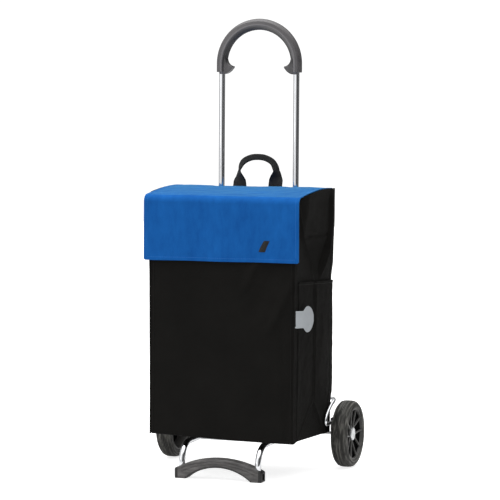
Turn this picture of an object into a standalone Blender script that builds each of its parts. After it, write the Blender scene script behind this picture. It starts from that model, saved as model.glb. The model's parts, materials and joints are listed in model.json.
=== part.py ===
"""A folding shopping trolley: a bag on a chromed tube frame with two wheels and a fold-up foot.

Metres, +Z up. -Y is the front, where the foot and the lid's flap are, and the origin is on the ground
under the middle of the trolley. The uprights, the grip and the bag lean back a little about a line
through the feet of the uprights; the wheels, the axle and the foot frame stand square to the ground.
"""

import math

import bmesh
import bpy
from mathutils import Matrix, Vector

GAP = 0.0003  # left between pieces that touch

# Frame
TUBE_R = 0.007
TRACK = 0.0907  # from the middle to each upright, foot arm and the handle's arc
FRAME_Y = 0.081
AXLE_Z = 0.0765
LEAN = math.radians(1.1)
UPRIGHT_FOOT_Z = 0.0605
HANDLE_Z = 0.925  # centre of the handle's half circle

# Grip
GRIP_R = 0.0125
GRIP_END_Z = 0.905
HOOK_R = 0.017
HOOK_DEPTH = 0.020

# Wheels and axle
WHEEL_R = 0.0765
TYRE_W = 0.0395
WHEEL_X = 0.21475
HUB_OUT = 0.0035  # from the tyre's middle plane to the hub's
AXLE_Y = 0.102
AXLE_R = 0.004
AXLE_END = 0.0085  # how far the axle passes the tyre's middle plane
RIM_R = 0.0585
BOSS_R = 0.0165
BUSH_R = 0.0080
CAP_R = 0.0150
CAP_FACE = 0.0108
SPOKES = 5

# Foot frame
PIVOT_Y = 0.053
PIVOT_Z = 0.0765
PIN_R = 0.0025
ARM_TAIL = 0.009
LEG_Y = -0.164
LEG_BEND = 0.045
LEG_FOOT_Z = 0.0105
FOOT_HALF = 0.1035
FOOT_DEPTH = 0.028
FOOT_OPEN = 0.077  # half width of the arch where it leaves the ground
FOOT_UNDER_R = 0.120
FOOT_TOP_R = 0.224
FOOT_TOP_Z = 0.048

# Knuckles at the feet of the uprights
KNUCKLE_HALF = 0.014
KNUCKLE_FRONT = 0.037
KNUCKLE_BACK = 0.112
KNUCKLE_LOW = 0.056
KNUCKLE_TOP = 0.0855
KNUCKLE_SCREW_Z = 0.0690

# Axle bow, the tube that carries the axle's ends
BOW_R = 0.0042
BOW_Y = 0.0985
BOW_Z = 0.158
BOW_X = 0.189
BOW_END_Z = 0.1075  # where the bow runs back into the axle holders
BRACKET_SCREW_Z = 0.0135  # from the bow's middle to each bracket screw
HOLDER_R = 0.0150
HOLDER_FRONT = 0.0745
HOLDER_CHIN = 0.0865  # height of the front's lower edge

# Bag, before it leans
BAG_HALF = 0.172
BAG_FRONT = -0.1555
BAG_BACK = 0.0712
BAG_LOW = 0.0885
BAG_WALL = 0.003
BAG_CORNER = 0.008
POCKET_FRONT = -0.143
POCKET_BACK = 0.064
POCKET_LOW = 0.0925
POCKET_TOP = 0.438
POCKET_OUT = 0.184
POCKET_WALL = 0.0015

# Label, a flag whose turn is its angle from +X at its root and at its head
LABEL_Z = 0.360
LABEL_T = 0.0012
LABEL_NECK = 0.0217
LABEL_SHOULDER = 0.0342
LABEL_LENGTH = 0.0600
LABEL_NECK_HALF = 0.0190
LABEL_HEAD_HALF = 0.0290
LABEL_TURN = (38, 78)
LABEL_STEPS = (0.0075, 0.0070, 0.0072, 0.0030, 0.0045, 0.0050, 0.0070, 0.0070, 0.0050, 0.0040, 0.0028, 0.0)

# Lid, before it leans
LID_HALF = 0.184
LID_FRONT = -0.1615
LID_FRONT_Z = 0.6278
LID_BACK = 0.067
LID_BACK_Z = 0.6395
LID_CROWN = 0.006
LID_LOW = 0.484
LID_T = 0.003
LID_BEND = 0.017
LID_STEPS = 8


def clear_scene():
    for obj in list(bpy.data.objects):
        bpy.data.objects.remove(obj, do_unlink=True)


def new_collection(name):
    made = bpy.data.collections.new(name)
    bpy.context.scene.collection.children.link(made)
    return made


def new_material(name, colour, roughness, metallic=0.0):
    made = bpy.data.materials.new(name)
    made.use_nodes = True
    shader = made.node_tree.nodes["Principled BSDF"]
    shader.inputs["Base Color"].default_value = (*colour, 1.0)
    shader.inputs["Roughness"].default_value = roughness
    shader.inputs["Metallic"].default_value = metallic
    return made


clear_scene()
PARTS = new_collection("folding_shopping_trolley")
CUTTERS = new_collection("cutters")

CHROME = new_material("chrome", (0.80, 0.81, 0.83), 0.12, 1.0)
STEEL = new_material("zinc_steel", (0.62, 0.62, 0.63), 0.35, 1.0)
GRIP_PLASTIC = new_material("grip_plastic", (0.13, 0.13, 0.135), 0.55)
BLACK_PLASTIC = new_material("black_plastic", (0.03, 0.03, 0.032), 0.50)
FOOT_PLASTIC = new_material("foot_plastic", (0.085, 0.083, 0.083), 0.55)
RUBBER = new_material("rubber", (0.025, 0.025, 0.022), 0.80)
SILVER = new_material("silver_cap", (0.72, 0.73, 0.74), 0.30, 0.8)
BLACK_FABRIC = new_material("black_fabric", (0.010, 0.010, 0.009), 0.90)
BLUE_FABRIC = new_material("blue_fabric", (0.012, 0.096, 0.37), 0.85)
WEBBING = new_material("webbing", (0.012, 0.012, 0.011), 0.85)
LABEL = new_material("label", (0.42, 0.45, 0.47), 0.60)
BOARD = new_material("board", (0.16, 0.15, 0.14), 0.80)


def place(name, data, material, matrix=None):
    """Links an object for this data to the parts."""
    obj = bpy.data.objects.new(name, data)
    PARTS.objects.link(obj)
    if matrix is not None:
        obj.matrix_world = matrix
    data.materials.clear()
    data.materials.append(material)
    return obj


def smooth(obj):
    obj.data.shade_smooth()
    obj.data.set_sharp_from_angle(angle=math.radians(35))
    return obj


def as_mesh(curve_object):
    """The curve's solid as a mesh object of the same name, with its caps welded to its sides."""
    bpy.context.view_layer.update()
    graph = bpy.context.evaluated_depsgraph_get()
    mesh = bpy.data.meshes.new_from_object(curve_object.evaluated_get(graph))
    shape = bmesh.new()
    shape.from_mesh(mesh)
    bmesh.ops.remove_doubles(shape, verts=shape.verts, dist=1e-6)
    bmesh.ops.recalc_face_normals(shape, faces=shape.faces)
    shape.to_mesh(mesh)
    shape.free()
    name = curve_object.name
    material = curve_object.data.materials[0]
    matrix = curve_object.matrix_world.copy()
    bpy.data.objects.remove(curve_object, do_unlink=True)
    return smooth(place(name, mesh, material, matrix))


def box(name, low, high, material, bevel=0.0):
    """A block between two corners, with its edges rounded by the bevel."""
    low, high = Vector(low), Vector(high)
    shape = bmesh.new()
    matrix = Matrix.Translation((low + high) / 2) @ Matrix.Diagonal((*(high - low), 1.0))
    bmesh.ops.create_cube(shape, size=1.0, matrix=matrix)
    mesh = bpy.data.meshes.new(name)
    shape.to_mesh(mesh)
    shape.free()
    obj = place(name, mesh, material)
    if bevel:
        edges = obj.modifiers.new("edges", "BEVEL")
        edges.width = bevel
        edges.segments = 2
    return obj


def cylinder(name, radius, start, end, material, sides=24):
    start, end = Vector(start), Vector(end)
    turn = Vector((0, 0, 1)).rotation_difference(end - start).to_matrix().to_4x4()
    shape = bmesh.new()
    bmesh.ops.create_cone(
        shape,
        cap_ends=True,
        segments=sides,
        radius1=radius,
        radius2=radius,
        depth=(end - start).length,
        matrix=Matrix.Translation((start + end) / 2) @ turn,
    )
    mesh = bpy.data.meshes.new(name)
    shape.to_mesh(mesh)
    shape.free()
    return smooth(place(name, mesh, material))


def tube(name, points, radius, material, bevel_resolution=4):
    """A round bar along the points."""
    curve = bpy.data.curves.new(name, "CURVE")
    curve.dimensions = "3D"
    curve.bevel_depth = radius
    curve.bevel_resolution = bevel_resolution
    curve.use_fill_caps = True
    spline = curve.splines.new("POLY")
    spline.points.add(len(points) - 1)
    for point, co in zip(spline.points, points):
        point.co = (*co, 1.0)
    return as_mesh(place(name, curve, material))


PLANES = {
    "XY": Matrix.Identity(4),
    "XZ": Matrix.Rotation(math.pi / 2, 4, "X"),
    "YZ": Matrix(((0, 0, 1, 0), (1, 0, 0, 0), (0, 1, 0, 0), (0, 0, 0, 1))),
}


def plate(name, outline, thickness, plane, material, offset=0.0):
    """A flat outline in one of the planes, made this thick about its offset along the plane's normal."""
    curve = bpy.data.curves.new(name, "CURVE")
    curve.dimensions = "2D"
    curve.fill_mode = "BOTH"
    curve.extrude = thickness / 2
    spline = curve.splines.new("POLY")
    spline.points.add(len(outline) - 1)
    for point, (across, up) in zip(spline.points, outline):
        point.co = (across, up, 0.0, 1.0)
    spline.use_cyclic_u = True
    matrix = PLANES[plane] @ Matrix.Translation((0, 0, offset))
    return as_mesh(place(name, curve, material, matrix))


def turned(name, profile, centre, material, steps=24, closed=True, flip=False):
    """A profile of (radius, distance along X) turned about an X axis, outer side first, from +X to -X."""
    mesh = bpy.data.meshes.new(name)
    edges = [(i, i + 1) for i in range(len(profile) - 1)]
    if closed:
        edges.append((len(profile) - 1, 0))
    mesh.from_pydata([(radius, 0.0, along) for radius, along in profile], edges, [])
    angle = -math.pi / 2 if flip else math.pi / 2
    matrix = Matrix.Translation(centre) @ Matrix.Rotation(angle, 4, "Y")
    obj = place(name, mesh, material, matrix)
    screw = obj.modifiers.new("turn", "SCREW")
    screw.steps = steps
    screw.render_steps = steps
    screw.use_merge_vertices = True
    screw.merge_threshold = 1e-5
    return obj


def ring(outer, inner, low, high):
    """The closed profile of a plain ring."""
    return [(outer, high), (outer, low), (inner, low), (inner, high)]


def as_cutter(obj):
    PARTS.objects.unlink(obj)
    CUTTERS.objects.link(obj)
    obj.hide_render = True
    obj.display_type = "WIRE"
    return obj


def combine(obj, operation, *others):
    for other in others:
        if other.name in PARTS.objects:
            as_cutter(other)
        step = obj.modifiers.new(other.name, "BOOLEAN")
        step.operation = operation
        step.object = other
    return obj


def cut(obj, *others):
    return combine(obj, "DIFFERENCE", *others)


def join(obj, *others):
    return combine(obj, "UNION", *others)


def arc(centre, radius, start, end, steps):
    """Points on an arc, with the angles in degrees."""
    found = []
    for i in range(steps + 1):
        angle = math.radians(start + (end - start) * i / steps)
        found.append((centre[0] + radius * math.cos(angle), centre[1] + radius * math.sin(angle)))
    return found


def rounded_rectangle(half_x, front, back, radius, steps=4):
    corners = (
        ((half_x - radius, back - radius), 0),
        ((-half_x + radius, back - radius), 90),
        ((-half_x + radius, front + radius), 180),
        ((half_x - radius, front + radius), 270),
    )
    return [p for centre, start in corners for p in arc(centre, radius, start, start + 90, steps)]


def through(points, steps):
    """A smooth curve through the points, as a Catmull-Rom spline."""
    ends = [2 * points[0] - points[1], *points, 2 * points[-1] - points[-2]]
    found = []
    for a, b, c, d in zip(ends, ends[1:], ends[2:], ends[3:]):
        for i in range(steps):
            t = i / steps
            square = (2 * a - 5 * b + 4 * c - d) * t**2
            found.append(0.5 * (2 * b + (c - a) * t + square + (3 * b - a - 3 * c + d) * t**3))
    return [*found, points[-1]]


LEAN_CENTRE = Vector((0.0, FRAME_Y, AXLE_Z))
LEANING = bpy.data.objects.new("leaning_frame", None)
PARTS.objects.link(LEANING)
LEANING.location = LEAN_CENTRE
LEANING.rotation_euler = (-LEAN, 0, 0)


def leaned(obj):
    """Makes a piece modelled upright lean back with the frame."""
    obj.parent = LEANING
    obj.matrix_parent_inverse = Matrix.Translation(-LEAN_CENTRE)
    return obj


SIDES = {"left": -1, "right": 1}


# Uprights, handle and grip


def handle_path(foot_z, steps):
    """Up one upright, round the handle and down the other, before the lean."""
    over = arc((0, HANDLE_Z), TRACK, 180, 0, steps)
    return [
        (-TRACK, FRAME_Y, foot_z),
        *((x, FRAME_Y, z) for x, z in over),
        (TRACK, FRAME_Y, foot_z),
    ]


def screw_hole(name, start, end, radius=0.0023):
    return as_cutter(cylinder(name, radius, start, end, STEEL, sides=12))


def make_main_tube():
    main = leaned(tube("main_tube", handle_path(UPRIGHT_FOOT_Z, 16), TUBE_R, CHROME))
    for side, sign in SIDES.items():
        for where, z in (("upper", BOW_Z + BRACKET_SCREW_Z), ("lower", BOW_Z - BRACKET_SCREW_Z)):
            start, end = (sign * TRACK, FRAME_Y + 0.003, z), (sign * TRACK, FRAME_Y + 0.02, z)
            cut(main, leaned(screw_hole(f"bracket_hole_{side}_{where}", start, end)))
        x = sign * (TRACK + 0.003)
        start, end = (x, FRAME_Y, KNUCKLE_SCREW_Z), (sign * 0.12, FRAME_Y, KNUCKLE_SCREW_Z)
        cut(main, screw_hole(f"knuckle_hole_{side}", start, end))


def make_grip():
    """A sleeve over the handle's arc, whose two ends turn inwards as hooks."""
    grip = leaned(tube("grip", handle_path(GRIP_END_Z, 16), GRIP_R, GRIP_PLASTIC, bevel_resolution=5))
    for side, sign in SIDES.items():
        hollow = arc((TRACK - 0.029, HANDLE_Z + 0.011), HOOK_R, 0, -85, 5)
        belly = arc((TRACK - 0.012, HANDLE_Z - 0.008), HOOK_R, 175, 270, 5)
        back = [(TRACK, HANDLE_Z - 0.008 - HOOK_R), (TRACK, HANDLE_Z + 0.011)]
        outline = [(sign * x, z) for x, z in (*hollow, *belly, *back)]
        hook = plate(f"grip_hook_{side}", outline, HOOK_DEPTH, "XZ", GRIP_PLASTIC, offset=-FRAME_Y)
        join(grip, leaned(hook))
    bore = leaned(tube("grip_bore", handle_path(GRIP_END_Z - 0.05, 16), TUBE_R + GAP, GRIP_PLASTIC))
    cut(grip, as_cutter(bore))


# Knuckles, axle and bow


def screw_profile(shank, head_r=0.0035, head_h=0.0022, shank_r=0.0018):
    """A pan-head screw with the underside of its head at zero and its shank along -X."""
    head = [(0.0, head_h), (head_r * 0.7, head_h), (head_r, head_h * 0.4), (head_r, 0.0)]
    return [*head, (shank_r, 0.0), (shank_r, -shank), (0.0, -shank)]


def make_knuckles():
    """Each holds an upright's foot, the axle, and in a slot at its front a foot arm's pivot."""
    for side, sign in SIDES.items():
        x = sign * TRACK
        low = (x - KNUCKLE_HALF, KNUCKLE_FRONT, KNUCKLE_LOW)
        high = (x + KNUCKLE_HALF, KNUCKLE_BACK, KNUCKLE_TOP)
        knuckle = box(f"knuckle_{side}", low, high, BLACK_PLASTIC, bevel=0.003)
        slot = TUBE_R + GAP
        sweep = math.hypot(TUBE_R, ARM_TAIL) + GAP
        deep = box(
            f"arm_slot_{side}",
            (x - slot, PIVOT_Y - TUBE_R - 0.0015, PIVOT_Z - sweep),
            (x + slot, PIVOT_Y + sweep, KNUCKLE_TOP + 0.01),
            BLACK_PLASTIC,
        )
        stop = box(
            f"arm_stop_{side}",
            (x - slot, KNUCKLE_FRONT - 0.01, PIVOT_Z - TUBE_R - GAP),
            (x + slot, PIVOT_Y, KNUCKLE_TOP + 0.01),
            BLACK_PLASTIC,
        )
        start, end = (x, FRAME_Y, UPRIGHT_FOOT_Z - GAP), (x, FRAME_Y, KNUCKLE_TOP + 0.02)
        socket = cylinder(f"socket_{side}", TUBE_R + GAP, start, end, BLACK_PLASTIC)
        cut(knuckle, deep, stop, leaned(as_cutter(socket)))
        cut(knuckle, axle_hole(f"knuckle_axle_{side}", x), pin_hole(f"knuckle_pin_{side}", x))
        start, end = (sign * TRACK, FRAME_Y, KNUCKLE_SCREW_Z), (sign * 0.12, FRAME_Y, KNUCKLE_SCREW_Z)
        cut(knuckle, screw_hole(f"knuckle_wall_hole_{side}", start, end))
        face = (x + sign * (KNUCKLE_HALF + GAP), FRAME_Y, KNUCKLE_SCREW_Z)
        turned(f"knuckle_screw_{side}", screw_profile(0.010), face, STEEL, 12, False, sign < 0)


def axle_hole(name, x):
    start, end = (x - 0.03, AXLE_Y, AXLE_Z), (x + 0.03, AXLE_Y, AXLE_Z)
    return as_cutter(cylinder(name, AXLE_R + GAP, start, end, STEEL))


def pin_hole(name, x):
    start, end = (x - 0.03, PIVOT_Y, PIVOT_Z), (x + 0.03, PIVOT_Y, PIVOT_Z)
    return as_cutter(cylinder(name, PIN_R + GAP, start, end, STEEL, sides=16))


def bow_path():
    """Straight behind the uprights, then forward and down beside the bag and back to the axle holders."""
    half = [
        (0.030, BOW_Y, BOW_Z),
        (0.158, BOW_Y, BOW_Z),
        (0.175, BOW_Y - 0.002, BOW_Z - 0.0003),
        (BOW_X - 0.004, BOW_Y - 0.009, BOW_Z - 0.0012),
        (BOW_X, 0.0774, 0.1545),
        (BOW_X, 0.0579, 0.1483),
        (BOW_X, 0.0415, 0.1402),
        (BOW_X, 0.0262, 0.1300),
        (BOW_X, 0.0185, 0.1190),
        (BOW_X, 0.0177, 0.1130),
        (BOW_X, 0.0230, 0.1084),
        (BOW_X, 0.0330, BOW_END_Z),
        (BOW_X, 0.0885, BOW_END_Z),
    ]
    right = through([Vector(p) for p in half], 2)
    left = [Vector((-p.x, p.y, p.z)) for p in reversed(right)]
    return left + right


def make_axle_and_bow():
    end = WHEEL_X + AXLE_END
    cylinder("axle_rod", AXLE_R, (-end, AXLE_Y, AXLE_Z), (end, AXLE_Y, AXLE_Z), STEEL, sides=16)
    tube("axle_bow", bow_path(), BOW_R, CHROME, bevel_resolution=3)
    bow_bore = as_cutter(tube("bow_bore", bow_path(), BOW_R + GAP, CHROME, bevel_resolution=5))
    inner, outer = BOW_X - BOW_R - 0.0025, WHEEL_X - TYRE_W / 2 - 0.0007
    for side, sign in SIDES.items():
        holder = cylinder(
            f"axle_holder_{side}",
            HOLDER_R,
            (sign * inner, AXLE_Y, AXLE_Z),
            (sign * outer, AXLE_Y, AXLE_Z),
            BLACK_PLASTIC,
        )
        chin = [
            (HOLDER_FRONT, HOLDER_CHIN),
            (HOLDER_FRONT, BOW_END_Z + BOW_R + 0.003),
            (AXLE_Y + 0.009, BOW_END_Z + BOW_R + 0.003),
            (AXLE_Y + 0.009, AXLE_Z - 0.006),
            (AXLE_Y - 0.009, AXLE_Z - 0.006),
        ]
        centre = sign * (inner + outer) / 2
        socket = plate(f"bow_socket_{side}", chin, outer - inner, "YZ", BLACK_PLASTIC, centre)
        join(holder, socket)
        cut(holder, axle_hole(f"holder_axle_{side}", sign * BOW_X), bow_bore)
        x = sign * TRACK
        bracket = box(
            f"bow_bracket_{side}",
            (x - 0.012, FRAME_Y + 0.004, BOW_Z - 0.019),
            (x + 0.012, BOW_Y + BOW_R + 0.003, BOW_Z + 0.019),
            BLACK_PLASTIC,
            bevel=0.002,
        )
        start, end = (x, FRAME_Y, 0.1), (x, FRAME_Y, 0.2)
        upright = cylinder(f"bracket_upright_{side}", TUBE_R + GAP, start, end, CHROME)
        cut(bracket, bow_bore, leaned(as_cutter(upright)))
        face_y = BOW_Y + BOW_R + 0.003
        for where, z in (("upper", BOW_Z + BRACKET_SCREW_Z), ("lower", BOW_Z - BRACKET_SCREW_Z)):
            hole = screw_hole(f"bracket_wall_{side}_{where}", (x, FRAME_Y, z), (x, face_y + 0.01, z))
            cut(bracket, leaned(hole))
            name = f"bracket_screw_{side}_{where}"
            screw = turned(name, screw_profile(0.0225), (0, 0, 0), STEEL, 12, False)
            turn = Matrix.Rotation(math.pi / 2, 4, "Z") @ Matrix.Rotation(math.pi / 2, 4, "Y")
            screw.matrix_world = Matrix.Translation((x, face_y + 0.0008, z)) @ turn
            leaned(screw)


# Wheels


def make_wheel(side, sign):
    """Distances are from the tyre's middle plane, then from the hub's, positive away from the trolley."""
    centre = (sign * WHEEL_X, AXLE_Y, AXLE_Z)
    flip = sign < 0
    half = TYRE_W / 2
    tyre = [
        (RIM_R + GAP, half - 0.0015),
        (RIM_R + 0.002, half),
        (WHEEL_R - 0.0110, half - 0.0005),
        (WHEEL_R - 0.0052, half - 0.0035),
        (WHEEL_R - 0.0015, half - 0.0095),
        (WHEEL_R, half - 0.0160),
    ]
    tyre += [(radius, -along) for radius, along in reversed(tyre)]
    turned(f"tyre_{side}", tyre, centre, RUBBER, 40, True, flip)

    rim = ring(RIM_R, RIM_R - 0.003, -half + 0.004, half - 0.004)
    hub = turned(f"wheel_hub_{side}", rim, centre, BLACK_PLASTIC, 40, True, flip)
    centre = (sign * (WHEEL_X + HUB_OUT), AXLE_Y, AXLE_Z)
    solid_boss = [(0.0, 0.006), (BOSS_R, 0.006), (BOSS_R, -0.0185), (0.0, -0.0185)]
    boss = turned(f"hub_boss_{side}", solid_boss, centre, BLACK_PLASTIC, 24, False, flip)
    join(hub, boss)
    inner_x, outer_x = sorted((-sign * 0.0110, sign * 0.0057))
    for number in range(SPOKES):
        for edge in (-1, 1):
            spoke = box(
                f"spoke_{side}_{number}_{edge}",
                (inner_x, edge * 0.0075 - 0.0026, 0.011),
                (outer_x, edge * 0.0075 + 0.0026, RIM_R - 0.0015),
                BLACK_PLASTIC,
            )
            turn = Matrix.Rotation(2 * math.pi * number / SPOKES, 4, "X")
            spoke.matrix_world = Matrix.Translation(centre) @ turn
            join(hub, spoke)
    head = [(0.0, 0.02), (0.0102, 0.02), (0.0102, 0.0012)]
    hole = [*head, (BUSH_R + GAP, 0.0012), (BUSH_R + GAP, -0.03), (0.0, -0.03)]
    bore = turned(f"hub_bore_{side}", hole, centre, BLACK_PLASTIC, 24, False, flip)
    cut(hub, as_cutter(bore))
    turned(f"wheel_bush_{side}", ring(BUSH_R, AXLE_R + GAP, -0.0187, 0.0010), centre, STEEL, 20, True, flip)
    cap = [
        (0.0, CAP_FACE),
        (CAP_R * 0.6, CAP_FACE - 0.0003),
        (CAP_R - 0.001, CAP_FACE - 0.0013),
        (CAP_R, CAP_FACE - 0.0025),
        (CAP_R, 0.0063),
        (0.0098, 0.0063),
        (0.0098, 0.0034),
        (0.0088, 0.0034),
        (0.0088, 0.0073),
        (0.0, 0.0073),
    ]
    turned(f"hub_cap_{side}", cap, centre, SILVER, 28, False, flip)
    turned(f"axle_washer_{side}", ring(0.0095, AXLE_R + GAP, -0.0206, -0.0190), centre, STEEL, 20, True, flip)
    turned(f"axle_clip_{side}", ring(0.0085, AXLE_R + GAP, 0.0016, 0.0027), centre, STEEL, 20, True, flip)


# Foot frame


def foot_top_z(x):
    return FOOT_TOP_Z - FOOT_TOP_R + math.sqrt(FOOT_TOP_R**2 - x**2)


def make_foot_frame():
    for side, sign in SIDES.items():
        x = sign * TRACK
        bend = arc((LEG_Y + LEG_BEND, PIVOT_Z - LEG_BEND), LEG_BEND, 90, 180, 8)
        path = [(x, PIVOT_Y + ARM_TAIL, PIVOT_Z), *((x, y, z) for y, z in bend), (x, LEG_Y, LEG_FOOT_Z)]
        cut(tube(f"foot_arm_{side}", path, TUBE_R, CHROME), pin_hole(f"arm_pin_{side}", x))
        head = [(0.0, 0.0022), (0.0038, 0.0022), (0.0045, 0.0012), (0.0045, 0.0)]
        pin = [*head, (PIN_R, 0.0), (PIN_R, -0.0295), (0.0, -0.0295)]
        face = (x + sign * (KNUCKLE_HALF + GAP), PIVOT_Y, PIVOT_Z)
        turned(f"pivot_pin_{side}", pin, face, STEEL, 16, False, sign < 0)
    inner = TRACK - TUBE_R - GAP
    cylinder("carrier_bar", 0.005, (-inner, -0.060, PIVOT_Z), (inner, -0.060, PIVOT_Z), CHROME, sides=16)
    make_foot_arch()


def make_foot_arch():
    spread = math.degrees(math.asin(FOOT_OPEN / FOOT_UNDER_R))
    under_centre = (0, -FOOT_UNDER_R * math.cos(math.radians(spread)))
    under = arc(under_centre, FOOT_UNDER_R, 90 + spread, 90 - spread, 12)
    lean_out = math.degrees(math.asin(FOOT_HALF / FOOT_TOP_R))
    top = arc((0, FOOT_TOP_Z - FOOT_TOP_R), FOOT_TOP_R, 90 - lean_out, 90 + lean_out, 12)
    outline = [(-FOOT_HALF, 0.0), *under, (FOOT_HALF, 0.0), *top]
    arch = plate("foot_arch", outline, FOOT_DEPTH, "XZ", FOOT_PLASTIC, offset=-LEG_Y)
    back = LEG_Y + FOOT_DEPTH / 2
    for side, sign in SIDES.items():
        x = sign * TRACK
        bottom = LEG_FOOT_Z - GAP
        start, end = (x, LEG_Y, bottom), (x, LEG_Y, 0.06)
        socket = cylinder(f"leg_socket_{side}", TUBE_R + GAP, start, end, FOOT_PLASTIC)
        recess = box(
            f"end_recess_{side}",
            (sign * FOOT_HALF - 0.0015, LEG_Y - 0.007, 0.004),
            (sign * FOOT_HALF + 0.0015, LEG_Y + 0.007, 0.018),
            FOOT_PLASTIC,
        )
        hole = screw_hole(f"foot_hole_{side}", (x, LEG_Y, 0.0150), (x, back + 0.01, 0.0150))
        cut(arch, as_cutter(socket), recess, hole)
        screw = turned(f"foot_screw_{side}", screw_profile(0.0052), (0, 0, 0), STEEL, 12, False)
        turn = Matrix.Rotation(math.pi / 2, 4, "Z") @ Matrix.Rotation(math.pi / 2, 4, "Y")
        screw.matrix_world = Matrix.Translation((x, back + GAP, 0.0150)) @ turn


# Bag


def lid_z(y):
    """Height of the lid's outer face."""
    share = (y - LID_FRONT) / (LID_BACK - LID_FRONT)
    return LID_FRONT_Z + share * (LID_BACK_Z - LID_FRONT_Z) + 4 * LID_CROWN * share * (1 - share)


def lid_edge(inset):
    """The lid's section inset from its outer face: from the back, over the front bend, down to the hem."""
    front, bend = LID_FRONT + inset, LID_BEND - inset
    start = front + bend
    slope = math.degrees(math.atan2(lid_z(start + 0.001) - lid_z(start - 0.001), 0.002))
    centre = (start, lid_z(start) - inset - bend)
    steps = [LID_BACK + (start - LID_BACK) * i / LID_STEPS for i in range(LID_STEPS)]
    return [*((y, lid_z(y) - inset) for y in steps), *arc(centre, bend, 90 + slope, 180, 6), (front, LID_LOW)]


def make_bag_body():
    """A straight-sided bag, open at the top, whose rim keeps clear of the lid's underside."""
    top = 0.66
    outer = rounded_rectangle(BAG_HALF, BAG_FRONT, BAG_BACK, BAG_CORNER)
    inner = rounded_rectangle(
        BAG_HALF - BAG_WALL, BAG_FRONT + BAG_WALL, BAG_BACK - BAG_WALL, BAG_CORNER - BAG_WALL
    )
    middle = (BAG_LOW + top) / 2
    bag = leaned(plate("bag_body", outer, top - BAG_LOW, "XY", BLACK_FABRIC, offset=middle))
    hollow = plate("bag_hollow", inner, top - BAG_LOW, "XY", BLACK_FABRIC, offset=middle + BAG_WALL)
    cut(bag, leaned(as_cutter(hollow)))
    drop = LID_T + 0.0015
    behind = BAG_BACK + 0.02
    under_lid = [(behind, lid_z(behind) - drop), *lid_edge(drop), (LID_FRONT + drop, 0.0), (behind, 0.0)]
    trim = plate("bag_trim", under_lid, 0.5, "YZ", BLACK_FABRIC)
    combine(bag, "INTERSECT", leaned(as_cutter(trim)))


def make_bag_boards():
    """The floor board swings up with the foot frame, so it ends short of the knuckles."""
    floor = BAG_LOW + BAG_WALL + GAP
    leaned(box("base_board", (-0.160, -0.1500, floor), (0.160, 0.0420, floor + 0.0025), BOARD))
    back = BAG_BACK - BAG_WALL - GAP
    leaned(box("back_board", (-0.150, back - 0.0025, 0.115), (0.150, back, 0.600), BOARD))


def make_pockets():
    for side, sign in SIDES.items():
        ends = sorted((sign * (BAG_HALF + GAP), sign * POCKET_OUT))
        low, high = (ends[0], POCKET_FRONT, POCKET_LOW), (ends[1], POCKET_BACK, POCKET_TOP)
        pocket = box(f"side_pocket_{side}", low, high, BLACK_FABRIC)
        ends = sorted((sign * (BAG_HALF - 0.01), sign * (POCKET_OUT - POCKET_WALL)))
        hollow = box(
            f"pocket_hollow_{side}",
            (ends[0], POCKET_FRONT + POCKET_WALL, POCKET_LOW + POCKET_WALL),
            (ends[1], POCKET_BACK - POCKET_WALL, POCKET_TOP + 0.01),
            BLACK_FABRIC,
        )
        cut(leaned(pocket), leaned(as_cutter(hollow)))


def make_bag_trim():
    """Piped seams, the loops round the uprights, the fastening patches and the blank label."""
    inset = BAG_CORNER * (1 - math.sqrt(0.5))
    out = (0.0015 + GAP) * math.sqrt(0.5)
    for side, sign in SIDES.items():
        x, y = sign * (BAG_HALF - inset + out), BAG_FRONT + inset - out
        leaned(tube(f"front_piping_{side}", [(x, y, 0.095), (x, y, 0.618)], 0.0015, BLACK_FABRIC, 2))
        for where, z in (("upper", 0.595), ("lower", 0.205)):
            wrap = ring(0.0093, TUBE_R + 2 * GAP, -0.0125, 0.0125)
            loop = turned(f"bag_loop_{side}_{where}", wrap, (0, 0, 0), WEBBING, 20)
            loop.matrix_world = Matrix.Translation((sign * TRACK, FRAME_Y, z))
            leaned(loop)
        x = sign * 0.090
        face = BAG_FRONT - GAP
        leaned(box(f"bag_patch_{side}", (x - 0.025, face - 0.0009, 0.508), (x + 0.025, face, 0.533), WEBBING))
    make_label()
    make_carry_strap()


def make_label():
    """A flag sewn into the right front seam: a straight neck, then a rounded head that curls back."""
    rows = []
    spot, length = Vector((BAG_HALF + 0.0018, BAG_FRONT - 0.0003)), 0.0
    for step in LABEL_STEPS:
        share = min(length / LABEL_NECK / 2, 1.0)
        turn = math.radians(LABEL_TURN[0] + (LABEL_TURN[1] - LABEL_TURN[0]) * share)
        along = Vector((math.cos(turn), math.sin(turn)))
        across = Vector((along.y, -along.x)) * LABEL_T / 2
        height = label_half_height(length)
        rows.append(
            [
                (spot.x + side * across.x, spot.y + side * across.y, LABEL_Z + up * height)
                for side, up in ((-1, -1), (1, -1), (1, 1), (-1, 1))
            ]
        )
        spot, length = spot + along * step, length + step
    count = len(rows)
    faces = [(0, 1, 2, 3), tuple(4 * (count - 1) + k for k in (3, 2, 1, 0))]
    for i in range(count - 1):
        faces += [(4 * i + k, 4 * i + 4 + k, 4 * i + 4 + (k + 1) % 4, 4 * i + (k + 1) % 4) for k in range(4)]
    mesh = bpy.data.meshes.new("label_tab")
    mesh.from_pydata([point for row in rows for point in row], [], faces)
    leaned(smooth(place("label_tab", mesh, LABEL)))


def label_half_height(length):
    """The neck, a short shoulder, then a rounded end."""
    if length < LABEL_NECK:
        return LABEL_NECK_HALF
    if length < LABEL_SHOULDER:
        share = (length - LABEL_NECK) / (LABEL_SHOULDER - LABEL_NECK)
        return LABEL_NECK_HALF + (LABEL_HEAD_HALF - LABEL_NECK_HALF) * math.sin(share * math.pi / 2)
    share = (length - LABEL_SHOULDER) / (LABEL_LENGTH - LABEL_SHOULDER)
    return LABEL_HEAD_HALF * math.sqrt(max(1 - share**2, 0.02))


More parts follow.
